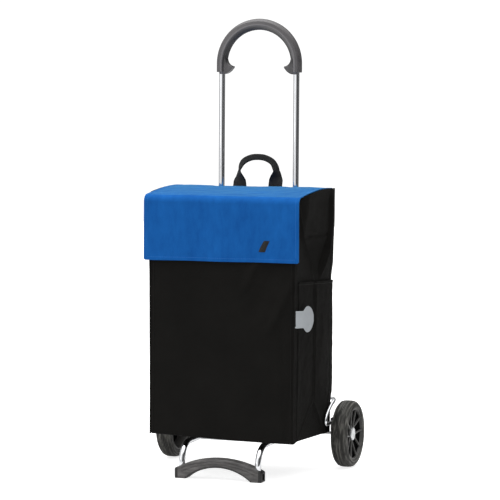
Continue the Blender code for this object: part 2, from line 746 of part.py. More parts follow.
def strap_half(z):
    """Flat where it is sewn on, pinched where it turns over, and folded double over the top."""
    steps = ((0.640, 0.0170), (0.660, 0.0152), (0.680, 0.0048), (0.692, 0.0056), (0.720, 0.0062))
    if z <= steps[0][0]:
        return steps[0][1]
    for (low, a), (high, b) in zip(steps, steps[1:]):
        if z <= high:
            return a + (b - a) * (z - low) / (high - low)
    return steps[-1][1]


def make_carry_strap():
    """A webbing loop sewn behind the bag's rear edge."""
    leg = [(0.0435, 0.590), (0.0435, 0.645), (0.0445, 0.662), (0.0450, 0.680)]
    right = [Vector(p) for p in (*leg, (0.0365, 0.698), (0.0190, 0.7080))]
    left = [Vector((-p.x, p.y)) for p in right]
    middle = through([*left, Vector((0.0, 0.7105)), *reversed(right)], 3)
    outer, inner = [], []
    for before, point, after in zip([middle[0]] + middle, middle, middle[1:] + [middle[-1]]):
        along = (after - before).normalized()
        side = Vector((-along.y, along.x)) * strap_half(point.y)
        outer.append(tuple(point + side))
        inner.append(tuple(point - side))
    outline = outer + list(reversed(inner))
    leaned(plate("carry_strap", outline, 0.0016, "XZ", WEBBING, offset=-(BAG_BACK + 0.0012)))


# Lid


def make_lid():
    """A bent sheet with a stiffening board under its top and two fastening patches inside its flap."""
    section = lid_edge(0.0) + list(reversed(lid_edge(LID_T)))
    leaned(plate("lid_cover", section, 2 * LID_HALF, "YZ", BLUE_FABRIC))
    under = LID_T + GAP
    front, back = LID_FRONT + LID_BEND + 0.004, LID_BACK - 0.006
    board = [
        (front, lid_z(front) - under),
        (back, lid_z(back) - under),
        (back, lid_z(back) - under - 0.002),
        (front, lid_z(front) - under - 0.002),
    ]
    leaned(plate("lid_board", board, 2 * 0.168, "YZ", BOARD))
    for side, sign in SIDES.items():
        x = sign * 0.090
        face = LID_FRONT + LID_T + GAP
        leaned(box(f"lid_patch_{side}", (x - 0.025, face, 0.508), (x + 0.025, face + 0.0009, 0.533), WEBBING))


make_main_tube()
make_grip()
make_knuckles()
make_axle_and_bow()
for wheel_side, wheel_sign in SIDES.items():
    make_wheel(wheel_side, wheel_sign)
make_foot_frame()
make_bag_body()
make_bag_boards()
make_pockets()
make_bag_trim()
make_lid()
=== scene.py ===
"""The looks of the folding shopping trolley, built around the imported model.

Metres, +Z up, -Y to the front, as in the frame. The grip, the uprights and the bag lean back a little.
They are made standing upright here and then leaned with LEANED, as the frame's own solids were.
"""

import json
import math

import bmesh
import bpy
import numpy as np
from mathutils import Matrix, Vector, noise


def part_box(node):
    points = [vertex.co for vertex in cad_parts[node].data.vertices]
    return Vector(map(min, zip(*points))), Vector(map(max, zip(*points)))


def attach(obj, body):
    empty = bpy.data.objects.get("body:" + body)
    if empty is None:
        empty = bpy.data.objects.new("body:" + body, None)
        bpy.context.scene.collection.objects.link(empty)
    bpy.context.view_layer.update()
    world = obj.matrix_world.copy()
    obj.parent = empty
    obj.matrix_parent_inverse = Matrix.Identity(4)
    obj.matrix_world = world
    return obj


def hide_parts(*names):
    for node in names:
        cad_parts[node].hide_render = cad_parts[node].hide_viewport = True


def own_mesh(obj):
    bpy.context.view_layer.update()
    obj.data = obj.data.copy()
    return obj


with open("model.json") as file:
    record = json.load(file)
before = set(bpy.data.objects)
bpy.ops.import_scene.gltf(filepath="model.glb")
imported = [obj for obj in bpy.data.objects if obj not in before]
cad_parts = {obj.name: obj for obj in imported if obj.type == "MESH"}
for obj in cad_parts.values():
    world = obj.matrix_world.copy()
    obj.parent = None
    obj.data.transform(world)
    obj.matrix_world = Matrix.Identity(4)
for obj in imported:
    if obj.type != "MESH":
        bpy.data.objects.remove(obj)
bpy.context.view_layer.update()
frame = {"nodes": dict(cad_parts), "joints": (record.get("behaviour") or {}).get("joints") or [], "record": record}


def middle(node):
    return sum(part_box(node), Vector()) / 2


SIDES = {"left": -1, "right": 1}
AXLE = middle("axle_rod")
TRACK = middle("foot_arm_right").x
FRAME_Y = 0.081
LEAN = math.radians(1.1)
LEAN_CENTRE = Matrix.Translation((0, FRAME_Y, AXLE.z))
LEANED = LEAN_CENTRE @ Matrix.Rotation(-LEAN, 4, "X") @ LEAN_CENTRE.inverted()


def upright_box(node):
    """Lowest and highest corner of a leaning node as it was before the lean."""
    back = LEANED.inverted()
    points = np.array([back @ v.co for v in frame["nodes"][node].data.vertices])
    return Vector(points.min(0)), Vector(points.max(0))


BAG_LOW, BAG_HIGH = upright_box("bag_body")
LID_LOW, LID_HIGH = upright_box("lid_cover")
POCKET_LOW, POCKET_HIGH = upright_box("side_pocket_right")
STRAP_LOW, STRAP_HIGH = upright_box("carry_strap")

TUBE_R = 0.007
BOW_R = 0.0042
CARRIER_R = 0.005
GRIP_R = 0.0125
HANDLE_Z = upright_box("grip")[1].z - GRIP_R - TRACK
GRIP_END_Z = HANDLE_Z - 0.02
LID_BEND = 0.017
LID_FRONT_Z = 0.6278
LID_BACK_Z = 0.6395
LID_CROWN = 0.006
RIM_DROP = 0.0048
LABEL_Z = 0.36
FOOT_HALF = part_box("foot_arch")[1].x
FOOT_UNDER_R = 0.12
FOOT_OPEN_HALF = 0.077
WHEEL_RIM = 0.0588
HUB_OUT = 0.0035
REAR_SEAM_Y = 0.046
PLEAT_Y = -0.05
CREASE_Z = 0.54


# Small tools


def ease(low, high, value):
    """From 0 at low to 1 at high, with soft ends."""
    t = np.clip((np.asarray(value, float) - low) / (high - low), 0, 1)
    return t * t * (3 - 2 * t)


def bump(value, centre, width):
    """A soft hump of height one."""
    return np.exp(-(((np.asarray(value, float) - centre) / width) ** 2))


def ripple(x, y, z, size, seed=0.0):
    """Smooth noise from -1 to 1 whose features are about this size."""
    return noise.noise(Vector((x / size + seed, y / size - seed, z / size + 2 * seed)))


def ripples(points, size, seed=0.0):
    flat = points.reshape(-1, 3)
    return np.array([ripple(*p, size, seed) for p in flat]).reshape(points.shape[:-1])


def circle_angles(count):
    return np.linspace(0, 2 * math.pi, count, endpoint=False)


def arc(centre, radius, start, end, steps):
    angles = np.radians(np.linspace(start, end, steps + 1))
    return [(centre[0] + radius * math.cos(a), centre[1] + radius * math.sin(a)) for a in angles]


def through(points, steps):
    """A smooth curve through the points, as a Catmull-Rom spline."""
    points = [Vector(p) for p in points]
    ends = [2 * points[0] - points[1], *points, 2 * points[-1] - points[-2]]
    found = []
    for a, b, c, d in zip(ends, ends[1:], ends[2:], ends[3:]):
        pull, turn = 2 * a - 5 * b + 4 * c - d, 3 * b - a - 3 * c + d
        for t in np.linspace(0, 1, steps, endpoint=False):
            found.append(0.5 * (2 * b + (c - a) * t + pull * t**2 + turn * t**3))
    return [*found, points[-1]]


def lengths_along(points):
    """How far each point is from the first, along the line through them."""
    return np.concatenate([[0.0], np.cumsum([math.dist(a, b) for a, b in zip(points, points[1:])])])


def mirrored(points):
    return [Vector((-p.x, p.y, p.z)) for p in points]


def add_object(name, data, material=None, leaning=False):
    obj = bpy.data.objects.new(name, data)
    bpy.context.scene.collection.objects.link(obj)
    if material is not None:
        data.materials.append(material)
    if leaning:
        data.transform(LEANED)
    return obj


def from_shape(name, shape, material, matrix=None):
    """An object whose mesh is this bmesh, moved by the matrix."""
    mesh = bpy.data.meshes.new(name)
    shape.to_mesh(mesh)
    shape.free()
    if matrix is not None:
        mesh.transform(matrix)
    return add_object(name, mesh, material)


def shade(obj, angle):
    obj.data.shade_smooth()
    obj.data.set_sharp_from_angle(angle=math.radians(angle))
    return obj


def soften(obj, width, segments=2, angle=60):
    """Rounds the edges that turn by more than the angle."""
    edges = obj.modifiers.new("edges", "BEVEL")
    edges.width = width
    edges.segments = segments
    edges.limit_method = "ANGLE"
    edges.angle_limit = math.radians(angle)


def apply_modifiers(obj):
    """The object's evaluated mesh in place of its modifiers."""
    graph = bpy.context.evaluated_depsgraph_get()
    graph.update()
    mesh = bpy.data.meshes.new_from_object(obj.evaluated_get(graph))
    obj.modifiers.clear()
    obj.data = mesh
    return obj


def place(obj, body, slot, *nodes):
    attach(obj, body)
    if nodes:
        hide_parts(*nodes)


def soft_piece(obj, body, slot, *nodes):
    """A piece of the bag or its lid, attached to its body and given a mesh of its own."""
    place(obj, body, slot, *nodes)
    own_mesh(obj)


def skin(name, points, u, v, material, wrap=False, leaning=False):
    """A surface over rows of points, with its own lengths u and v in metres as its texture coordinates."""
    rows, cols = points.shape[:2]
    faces, uvs = [], []
    for i in range(rows - 1):
        for j in range(cols if wrap else cols - 1):
            k = (j + 1) % cols
            faces.append((i * cols + j, i * cols + k, (i + 1) * cols + k, (i + 1) * cols + j))
            uvs += [(u[j], v[i]), (u[j + 1], v[i]), (u[j + 1], v[i + 1]), (u[j], v[i + 1])]
    mesh = bpy.data.meshes.new(name)
    mesh.from_pydata([tuple(p) for p in points.reshape(-1, 3)], [], faces)
    layer = mesh.uv_layers.new(name="lengths")
    layer.data.foreach_set("uv", np.array(uvs, np.float32).ravel())
    return shade(add_object(name, mesh, material, leaning), 60)


def sheet(name, points, u, v, material, thickness, bevel=0.0, wrap=False):
    """A leaning skin with a thickness, inwards from the modelled side, and rounded edges."""
    obj = skin(name, points, u, v, material, wrap, leaning=True)
    solid = obj.modifiers.new("thickness", "SOLIDIFY")
    solid.thickness = thickness
    solid.offset = -1
    if bevel:
        soften(obj, bevel)
    return apply_modifiers(obj)


def sweep(name, path, section, material, leaning=False, side=None):
    """A solid along a path. section(length) gives its outline, in pairs along the normal and the binormal."""
    path = [Vector(p) for p in path]
    lengths = lengths_along(path)
    normal = None
    rings, outlines = [], []
    for i, point in enumerate(path):
        along = (path[min(i + 1, len(path) - 1)] - path[max(i - 1, 0)]).normalized()
        if side is not None:
            binormal = Vector(side)
            normal = along.cross(binormal).normalized()
        else:
            if normal is None:
                normal = along.orthogonal()
            normal = (normal - along * normal.dot(along)).normalized()
            binormal = along.cross(normal)
        outlines.append(section(lengths[i]))
        rings.append([point + normal * a + binormal * b for a, b in outlines[-1]])
    around = lengths_along([*outlines[0], outlines[0][0]])
    obj = skin(name, np.array(rings), around, lengths, material, wrap=True, leaning=leaning)
    shape = bmesh.new()
    shape.from_mesh(obj.data)
    shape.verts.ensure_lookup_table()
    count = len(rings[0])
    shape.faces.new(shape.verts[:count][::-1])
    shape.faces.new(shape.verts[-count:])
    bmesh.ops.recalc_face_normals(shape, faces=shape.faces)
    shape.to_mesh(obj.data)
    shape.free()
    return shade(obj, 50)


def circle(radius, count=32):
    return lambda length: [(radius * math.cos(a), radius * math.sin(a)) for a in circle_angles(count)]


def plate(name, outline, thickness, matrix, material, bevel=0.0, segments=3):
    """A flat outline in the matrix's XY plane, given thickness about it and rounded edges."""
    shape = bmesh.new()
    face = shape.faces.new([shape.verts.new((a, b, -thickness / 2)) for a, b in outline])
    made = bmesh.ops.extrude_face_region(shape, geom=[face])
    moved = [v for v in made["geom"] if isinstance(v, bmesh.types.BMVert)]
    bmesh.ops.translate(shape, verts=moved, vec=(0, 0, thickness))
    bmesh.ops.recalc_face_normals(shape, faces=shape.faces)
    obj = from_shape(name, shape, material, matrix)
    if bevel:
        soften(obj, bevel, segments, 40)
    return shade(obj, 35)


def standing_at(y):
    """A matrix that stands an outline up in the XZ plane at this depth."""
    return Matrix.Translation((0, y, 0)) @ Matrix.Rotation(math.pi / 2, 4, "X")


def turned(name, profile, centre, material, steps, sign, closed=True):
    """A profile of (radius, distance outwards along X), turned about an X axis on the side of the sign."""
    shape = bmesh.new()
    rings = []
    for radius, along in profile:
        if radius < 1e-6:
            rings.append([shape.verts.new((sign * along, 0, 0))] * steps)
            continue
        around = [(radius * math.cos(a), radius * math.sin(a)) for a in circle_angles(steps)]
        rings.append([shape.verts.new((sign * along, y, z)) for y, z in around])
    pairs = list(zip(rings, rings[1:]))
    if closed:
        pairs.append((rings[-1], rings[0]))
    for a, b in pairs:
        for i in range(steps):
            k = (i + 1) % steps
            corners = list(dict.fromkeys((a[i], a[k], b[k], b[i])))
            if len(corners) > 2:
                shape.faces.new(corners)
    bmesh.ops.recalc_face_normals(shape, faces=shape.faces)
    return shade(from_shape(name, shape, material, Matrix.Translation(centre)), 30)


def combine(obj, operation, others):
    for other in others:
        step = obj.modifiers.new(other.name, "BOOLEAN")
        step.operation = operation
        step.object = other
    apply_modifiers(obj)
    for other in others:
        bpy.data.objects.remove(other, do_unlink=True)


def stitches(name, lines, material):
    """Rows of thread dashes. Each line is a list of (point, outward normal)."""
    length, gap = 0.003, 0.0014
    shape = bmesh.new()
    for line in lines:
        points, normals = zip(*((Vector(p), Vector(n)) for p, n in line))
        at = lengths_along(points)
        start = gap
        while start + length < at[-1]:
            ends = []
            for distance in (start, start + length / 2, start + length):
                i = min(int(np.searchsorted(at, distance)), len(at) - 1)
                share = (distance - at[i - 1]) / max(at[i] - at[i - 1], 1e-9)
                normal = normals[i - 1].lerp(normals[i], share).normalized()
                ends.append((points[i - 1].lerp(points[i], share), normal))
            add_dash(shape, ends)
            start += length + gap
    return shade(from_shape(name, shape, material), 80)


def add_dash(shape, ends):
    """One stitch: a thread that comes up, lies flat and goes down again."""
    radius = 0.00028
    along = (ends[2][0] - ends[0][0]).normalized()
    rings = []
    for (point, normal), lift, scale in zip(ends, (-0.4, 0.7, -0.4), (0.7, 1.0, 0.7)):
        side = along.cross(normal).normalized()
        centre = point + normal * radius * lift
        around = [side * math.cos(a) + normal * math.sin(a) for a in circle_angles(6)]
        rings.append([shape.verts.new(centre + out * radius * scale) for out in around])
    for a, b in zip(rings, rings[1:]):
        for i in range(6):
            k = (i + 1) % 6
            shape.faces.new((a[i], a[k], b[k], b[i]))
    shape.faces.new(rings[0][::-1])
    shape.faces.new(rings[2])


# Materials


class Nodes:
    """A shader tree, with short ways to add nodes to it."""

    def __init__(self, tree):
        self.tree = tree

    def put(self, socket, value):
        """Links an output to a socket, or gives the socket a value. A colour may leave out its alpha."""
        if hasattr(value, "is_output"):
            self.tree.links.new(value, socket)
        else:
            socket.default_value = (*value, 1) if socket.type == "RGBA" and len(value) == 3 else value

    def add(self, kind, *values, operation=None, **named):
        node = self.tree.nodes.new(kind)
        if operation:
            node.operation = operation
        for socket, value in zip(node.inputs, values):
            self.put(socket, value)
        for name, value in named.items():
            self.put(node.inputs[name], value)
        return node

    def calc(self, operation, *values):
        return self.add("ShaderNodeMath", *values, operation=operation).outputs[0]

    def far(self, a, b):
        """Distance from the origin of the point (a, b)."""
        return self.calc("SQRT", self.calc("ADD", self.calc("POWER", a, 2.0), self.calc("POWER", b, 2.0)))

    def remap(self, source, low, high, to_low=0.0, to_high=1.0):
        return self.add("ShaderNodeMapRange", source, low, high, to_low, to_high).outputs[0]


class Paint(Nodes):
    """A Principled material."""

    def __init__(self, name, colour, roughness, metallic=0.0, specular=0.5):
        self.material = bpy.data.materials.new(name)
        self.material.use_nodes = True
        super().__init__(self.material.node_tree)
        self.set(Base_Color=colour, Roughness=roughness, Metallic=metallic, Specular_IOR_Level=specular)
        self.place = self.add("ShaderNodeTexCoord").outputs["Object"]

    def set(self, **values):
        for name, value in values.items():
            self.put(self.tree.nodes["Principled BSDF"].inputs[name.replace("_", " ")], value)

    def noise(self, scale, detail=3.0, roughness=0.5, vector=None):
        vector = vector or self.place
        node = self.add("ShaderNodeTexNoise", Vector=vector, Scale=scale, Detail=detail, Roughness=roughness)
        return node.outputs["Fac"]

    def stretched(self, *scale):
        """The surface's place, with each axis scaled."""
        return self.add("ShaderNodeMapping", Vector=self.place, Scale=scale).outputs[0]

    def axes(self):
        return self.add("ShaderNodeSeparateXYZ", self.place).outputs

    def tone(self, *layers):
        """Two noises added, each as (noise, low, high, share)."""
        return self.calc("ADD", *(self.remap(*limits, 0.0, share) for *limits, share in layers))

    def blend(self, factor, a, b):
        """A colour between two others."""
        node = self.add("ShaderNodeMix", factor)
        node.data_type = "RGBA"
        self.put(node.inputs[6], a)
        self.put(node.inputs[7], b)
        return node.outputs[2]

    def colour(self, factor, a, b):
        self.set(Base_Color=self.blend(factor, a, b))

    def roughness(self, source, to_low, to_high, high=0.7):
        self.set(Roughness=self.remap(source, 0.3, high, to_low, to_high))

    def relief(self, *layers):
        """Bumps, each as (height, distance, strength), every one on top of the one before."""
        below = {}
        for height, distance, strength in layers:
            node = self.add("ShaderNodeBump", Height=height, Distance=distance, Strength=strength, **below)
            below = {"Normal": node.outputs[0]}
        self.set(**below)

    def lengths(self):
        """The surface's own texture coordinates, in metres."""
        node = self.add("ShaderNodeUVMap")
        node.uv_map = "lengths"
        return node.outputs[0]

    def bands(self, vector, direction, period):
        """A wave from 0 to 1 with this period."""
        node = self.add("ShaderNodeTexWave", Vector=vector, Scale=math.pi / 10 / period, Distortion=0.0)
        node.bands_direction = direction
        return node.outputs["Fac"]

    def weave(self, vector, period):
        """A plain weave's height: threads that pass over each other in turn."""
        over = self.add("ShaderNodeTexChecker", Vector=vector, Scale=1 / period).outputs["Fac"]
        across = self.calc("MULTIPLY", self.bands(vector, "X", period), over)
        along = self.calc("MULTIPLY", self.bands(vector, "Y", period), self.calc("SUBTRACT", 1.0, over))
        return self.calc("ADD", across, along)


def black_fabric():
    paint = Paint("black_woven_fabric", (0.009, 0.0085, 0.0078), 0.82, specular=0.07)
    threads = paint.weave(paint.lengths(), 0.0011)
    cloudy = paint.noise(9.0, 4.0, 0.6)
    slubs = paint.noise(420.0, 2.0, 0.7)
    tone = paint.tone((cloudy, 0.3, 0.7, 0.6), (slubs, 0.35, 0.65, 0.4))
    dark = paint.blend(tone, (0.004, 0.0037, 0.0034), (0.0088, 0.0082, 0.0074))
    paint.colour(paint.remap(threads, 0, 1, 0.0, 0.35), dark, (0.0135, 0.013, 0.0118))
    paint.roughness(slubs, 0.7, 0.9)
    paint.relief((threads, 0.00018, 0.7), (slubs, 0.00025, 0.35))
    paint.set(Sheen_Weight=0.008, Sheen_Roughness=0.4)
    return paint.material


def blue_suede():
    paint = Paint("blue_suede_fabric", (0.008, 0.092, 0.35), 0.85, specular=0.05)
    fine = paint.noise(1500.0, 3.0, 0.7)
    brushing = paint.stretched(1.0, 1.0, 0.38)
    nap = paint.noise(75.0, 5.0, 0.68, brushing)
    brushed = paint.noise(20.0, 4.0, 0.6, brushing)
    tone = paint.tone((nap, 0.32, 0.68, 0.55), (brushed, 0.36, 0.64, 0.45))
    base = paint.blend(tone, (0.0048, 0.066, 0.275), (0.01, 0.112, 0.4))
    paint.colour(paint.remap(fine, 0.35, 0.75, 0.0, 0.5), base, (0.0135, 0.14, 0.45))
    paint.roughness(fine, 0.78, 0.95)
    paint.relief((fine, 0.00035, 0.5), (nap, 0.0009, 0.25))
    paint.set(Sheen_Weight=0.6, Sheen_Roughness=0.26, Sheen_Tint=(0.34, 0.92, 0.98))
    return paint.material


def webbing():
    paint = Paint("black_webbing", (0.01, 0.01, 0.009), 0.7, specular=0.3)
    vector = paint.lengths()
    ribs = paint.bands(vector, "Y", 0.0016)
    herring = paint.bands(vector, "X", 0.0024)
    wear_and_highlight = paint.noise(240.0, 3.0, 0.6)
    tone = paint.calc("MULTIPLY", ribs, paint.remap(wear_and_highlight, 0.3, 0.7, 0.4, 1.0))
    paint.colour(tone, (0.0055, 0.0055, 0.005), (0.021, 0.02, 0.018))
    paint.roughness(wear_and_highlight, 0.6, 0.8)
    paint.relief((ribs, 0.0003, 0.8), (herring, 0.00012, 0.5))
    paint.set(Sheen_Weight=0.04)
    return paint.material


def chrome():
    paint = Paint("chrome_plate", (0.58, 0.59, 0.61), 0.06, 1.0)
    smudge = paint.noise(38.0, 4.0, 0.6)
    fine = paint.noise(900.0, 2.0, 0.5)
    tone = paint.tone((smudge, 0.4, 0.7, 0.6), (fine, 0.45, 0.7, 0.25))
    paint.colour(tone, (0.8, 0.81, 0.83), (0.7, 0.71, 0.735))
    paint.roughness(smudge, 0.045, 0.14, high=0.75)
    paint.relief((smudge, 0.00005, 0.25))
    return paint.material


def speckled(name, grain, low, high, dark, light, roughness, relief, metallic=0.0, specular=0.5):
    """A finish whose colour, roughness and relief all follow one grain."""
    paint = Paint(name, dark, roughness[0], metallic, specular)
    grain = paint.noise(*grain)
    paint.colour(paint.remap(grain, low, high), dark, light)
    paint.roughness(grain, *roughness)
    paint.relief((grain, *relief))
    return paint.material


def thread(name, dark, light, specular=0.5):
    twist = (2400.0, 2.0, 0.5)
    return speckled(name, twist, 0.35, 0.65, dark, light, (0.75, 0.75), (0.0001, 0.5), specular=specular)


def zinc():
    dark, light = (0.5, 0.5, 0.5), (0.68, 0.68, 0.7)
    return speckled("zinc_plate", (260.0, 4.0, 0.6), 0.3, 0.7, dark, light, (0.22, 0.42), (0.00008, 0.3), 1.0)


def silver_cap():
    dark, light, rough = (0.68, 0.69, 0.7), (0.8, 0.81, 0.82), (0.26, 0.4)
    return speckled("silver_cap", (1300.0, 2.0, 0.6), 0.35, 0.7, dark, light, rough, (0.00005, 0.4), 0.85)


def pressed_board():
    dark, light = (0.035, 0.033, 0.03), (0.075, 0.072, 0.067)
    return speckled("pressed_board", (320.0, 5.0, 0.7), 0.3, 0.7, dark, light, (0.78, 0.92), (0.0002, 0.5))


class Moulding(Paint):
    """Plastic with a fine spark-eroded grain, a little cloudy: pits, clouds and the base colour they give."""

    def __init__(self, name, dark, light, roughness, specular=0.4):
        super().__init__(name, dark, sum(roughness) / 2, specular=specular)
        self.pits = self.noise(1400.0, 2.0, 0.6)
        self.cloudy = self.noise(30.0, 3.0, 0.5)
        tone = self.tone((self.cloudy, 0.3, 0.7, 0.7), (self.pits, 0.4, 0.7, 0.3))
        self.base = self.blend(tone, dark, light)
        self.set(Base_Color=self.base)
        self.roughness(self.cloudy, *roughness)
        self.relief((self.pits, 0.00012, 0.6))


def grip_plastic():
    """Painted highlight along its ridge and painted shade along the inner side, the shade strongest over the top
    of the arc.
    """
    paint = Moulding("grip_plastic", (0.07, 0.066, 0.069), (0.096, 0.091, 0.094), (0.28, 0.42), specular=0.6)
    axes = paint.axes()
    above = paint.calc("MAXIMUM", paint.calc("SUBTRACT", axes["Z"], HANDLE_Z), 0.0)
    away = paint.calc("SUBTRACT", paint.far(axes["X"], above), TRACK)
    from_ridge = paint.calc("ABSOLUTE", paint.calc("ADD", away, 0.0016))
    ridge = paint.calc("SUBTRACT", 1.0, paint.remap(from_ridge, 0.0006, 0.003))
    # Painted highlight: a paler band along the ridge.
    wear_and_highlight = paint.blend(paint.calc("MULTIPLY", ridge, 0.65), paint.base, (0.19, 0.182, 0.188))
    # Painted shade on the inner chamfer, fainter down the straight ends.
    near = paint.remap(away, -0.0038, -0.0058, 0.0, 0.86)
    inner = paint.calc("MULTIPLY", near, paint.remap(away, -0.0185, -0.014))
    upper = paint.remap(axes["Z"], HANDLE_Z - 0.006, HANDLE_Z + 0.006, 0.25, 1.0)
    paint.colour(paint.calc("MULTIPLY", inner, upper), wear_and_highlight, (0.014, 0.0135, 0.014))
    return paint.material


def foot_plastic():
    """Scuffed paler in streaks, with a black rubber shoe on both ends and darker along its lower edge."""
    dark, light = (0.05, 0.0475, 0.0465), (0.078, 0.074, 0.0725)
    paint = Moulding("foot_plastic", dark, light, (0.4, 0.56), specular=0.45)
    scuffs = paint.noise(60.0, 5.0, 0.7, paint.stretched(0.5, 1.0, 2.4))
    wear_and_highlight = paint.blend(paint.remap(scuffs, 0.42, 0.68, 0.0, 0.9), paint.base, (0.16, 0.153, 0.149))
    axes = paint.axes()
    ends = paint.remap(paint.calc("ABSOLUTE", axes["X"]), FOOT_HALF - 0.0078, FOOT_HALF - 0.0072)
    # Darker along the lower edge, next to the opening under the arch.
    inside = paint.calc("SUBTRACT", FOOT_UNDER_R**2, paint.calc("POWER", axes["X"], 2.0))
    under = paint.calc("SQRT", paint.calc("MAXIMUM", inside, 0.0))
    above = paint.calc("SUBTRACT", axes["Z"], paint.calc("SUBTRACT", under, 0.092))
    low = paint.calc("MULTIPLY", paint.remap(above, 0.0034, 0.0056, 1.0, 0.0), 0.8)
    paint.colour(paint.calc("MAXIMUM", ends, low), wear_and_highlight, (0.012, 0.0118, 0.0115))
    paint.roughness(scuffs, 0.4, 0.56)
    return paint.material


def tyre_rubber():
    """Dusty rubber, with pale streaks round the wheel painted in as highlights on the tread."""
    paint = Paint("tyre_rubber", (0.022, 0.021, 0.018), 0.72, specular=0.45)
    dust = paint.noise(70.0, 5.0, 0.65)
    grain = paint.noise(1100.0, 2.0, 0.6)
    axes = paint.axes()
    y, z = paint.calc("SUBTRACT", axes["Y"], AXLE.y), paint.calc("SUBTRACT", axes["Z"], AXLE.z)
    round_it = paint.calc("MULTIPLY", paint.calc("COSINE", paint.calc("ARCTAN2", y, z)), 0.012)
    drawn = paint.add("ShaderNodeCombineXYZ", X=axes["X"], Y=paint.far(y, z), Z=round_it)
    streaks = paint.noise(190.0, 3.0, 0.6, drawn.outputs[0])
    base = paint.blend(paint.remap(dust, 0.35, 0.75), (0.025, 0.0243, 0.0215), (0.045, 0.0436, 0.039))
    # Painted highlights: the pale streaks round the tread.
    paint.colour(paint.remap(streaks, 0.47, 0.62), base, (0.165, 0.161, 0.146))
    paint.roughness(streaks, 0.74, 0.46)
    paint.relief((streaks, 0.0006, 0.4), (grain, 0.00015, 0.5))
    return paint.material


def label_tape():
    paint = Paint("label_tape", (0.42, 0.45, 0.475), 0.55)
    threads = paint.noise(1600.0, 2.0, 0.5)
    tone = paint.tone((threads, 0.35, 0.65, 0.6), (paint.noise(60.0, 2.0, 0.5), 0.3, 0.7, 0.4))
    paint.colour(tone, (0.4, 0.43, 0.455), (0.49, 0.52, 0.545))
    paint.roughness(threads, 0.45, 0.62)
    paint.relief((threads, 0.0001, 0.5))
    return paint.material


def painted_shade_dish():
    # Near black: painted shade for the hollow of the hub behind the spokes.
    dark, light = (0.0008, 0.0008, 0.0008), (0.002, 0.002, 0.002)
    return Moulding("painted_shade_dish", dark, light, (0.79, 0.92), specular=0.02).material


BLACK_FABRIC = black_fabric()
BLUE_SUEDE = blue_suede()
WEBBING = webbing()
CHROME = chrome()
ZINC = zinc()
SILVER = silver_cap()
BOARD = pressed_board()
GRIP_PLASTIC = grip_plastic()
FOOT_PLASTIC = foot_plastic()
BLACK_PLASTIC = Moulding("black_plastic", (0.016, 0.016, 0.017), (0.03, 0.03, 0.031), (0.39, 0.52)).material
# The hub's black plastic painted paler: painted highlight for the light on its rim, boss and spoke ribs.
LIT_HUB_PLASTIC = Moulding("lit_hub_plastic", (0.07, 0.068, 0.065), (0.105, 0.102, 0.098), (0.28, 0.41)).material
PAINTED_SHADE_DISH = painted_shade_dish()
RUBBER = tyre_rubber()
LABEL = label_tape()
BLACK_THREAD = thread("black_thread", (0.02, 0.02, 0.019), (0.045, 0.045, 0.042))
PIPING = thread("black_piping", (0.0055, 0.0053, 0.0049), (0.0105, 0.01, 0.0093), 0.12)
BLUE_THREAD = thread("blue_thread", (0.02, 0.15, 0.48), (0.035, 0.2, 0.58))

SLOT_MATERIALS = {
    "chrome_tube": CHROME,
    "zinc_steel": ZINC,
    "grip_plastic": GRIP_PLASTIC,
    "foot_plastic": FOOT_PLASTIC,
    "black_plastic": BLACK_PLASTIC,
    "tyre": RUBBER,
    "silver_cap": SILVER,
    "black_fabric": BLACK_FABRIC,
    "blue_fabric": BLUE_SUEDE,
    "webbing": WEBBING,
    "label": LABEL,
    "board": BOARD,
}


def paint_frame():
    """Gives every node of the frame the finish of its slot, and its moulded pieces softer edges."""
    for part in frame["record"]["subparts"]:
        obj = frame["nodes"][part["node"]]
        obj.data.materials.clear()
        obj.data.materials.append(SLOT_MATERIALS[part["material_slot"]])
        if part["node"].startswith(("knuckle_left", "knuckle_right", "axle_holder", "bow_bracket")):
            soften(obj, 0.001, 2, 50)


# Tubes, grip and foot


def handle_path(foot_z, steps):
    """Up the left upright from this height, round the handle and down the right one."""
    over = arc((0, HANDLE_Z), TRACK, 180, 0, steps)
    return [(-TRACK, FRAME_Y, foot_z), *((x, FRAME_Y, z) for x, z in over), (TRACK, FRAME_Y, foot_z)]


def bow_path():
    """Straight behind the uprights, then forward and down beside the bag and back to the axle holders."""
    y, z, x = 0.0985, 0.158, 0.189
    half = [(0.03, y, z), (0.158, y, z), (0.175, y - 0.002, z - 0.0003), (x - 0.004, y - 0.009, z - 0.0012)]
    beside = [(0.0774, 0.1545), (0.0579, 0.1483), (0.0415, 0.1402), (0.0262, 0.13), (0.0185, 0.119)]
    beside += [(0.0177, 0.113), (0.023, 0.1084), (0.033, 0.1075), (0.0885, 0.1075)]
    right = through([*half, *((x, y, z) for y, z in beside)], 8)
    return mirrored(reversed(right)) + right


def tube(node, path, radius, body, **how):
    place(sweep(f"{node}_chrome", path, circle(radius), CHROME, **how), body, "chrome_tube", node)


def make_tubes():
    path = handle_path(upright_box("main_tube")[0].z, 48)
    tube("main_tube", path, TUBE_R, "frame", leaning=True, side=(0, 1, 0))
    tube("axle_bow", bow_path(), BOW_R, "frame")


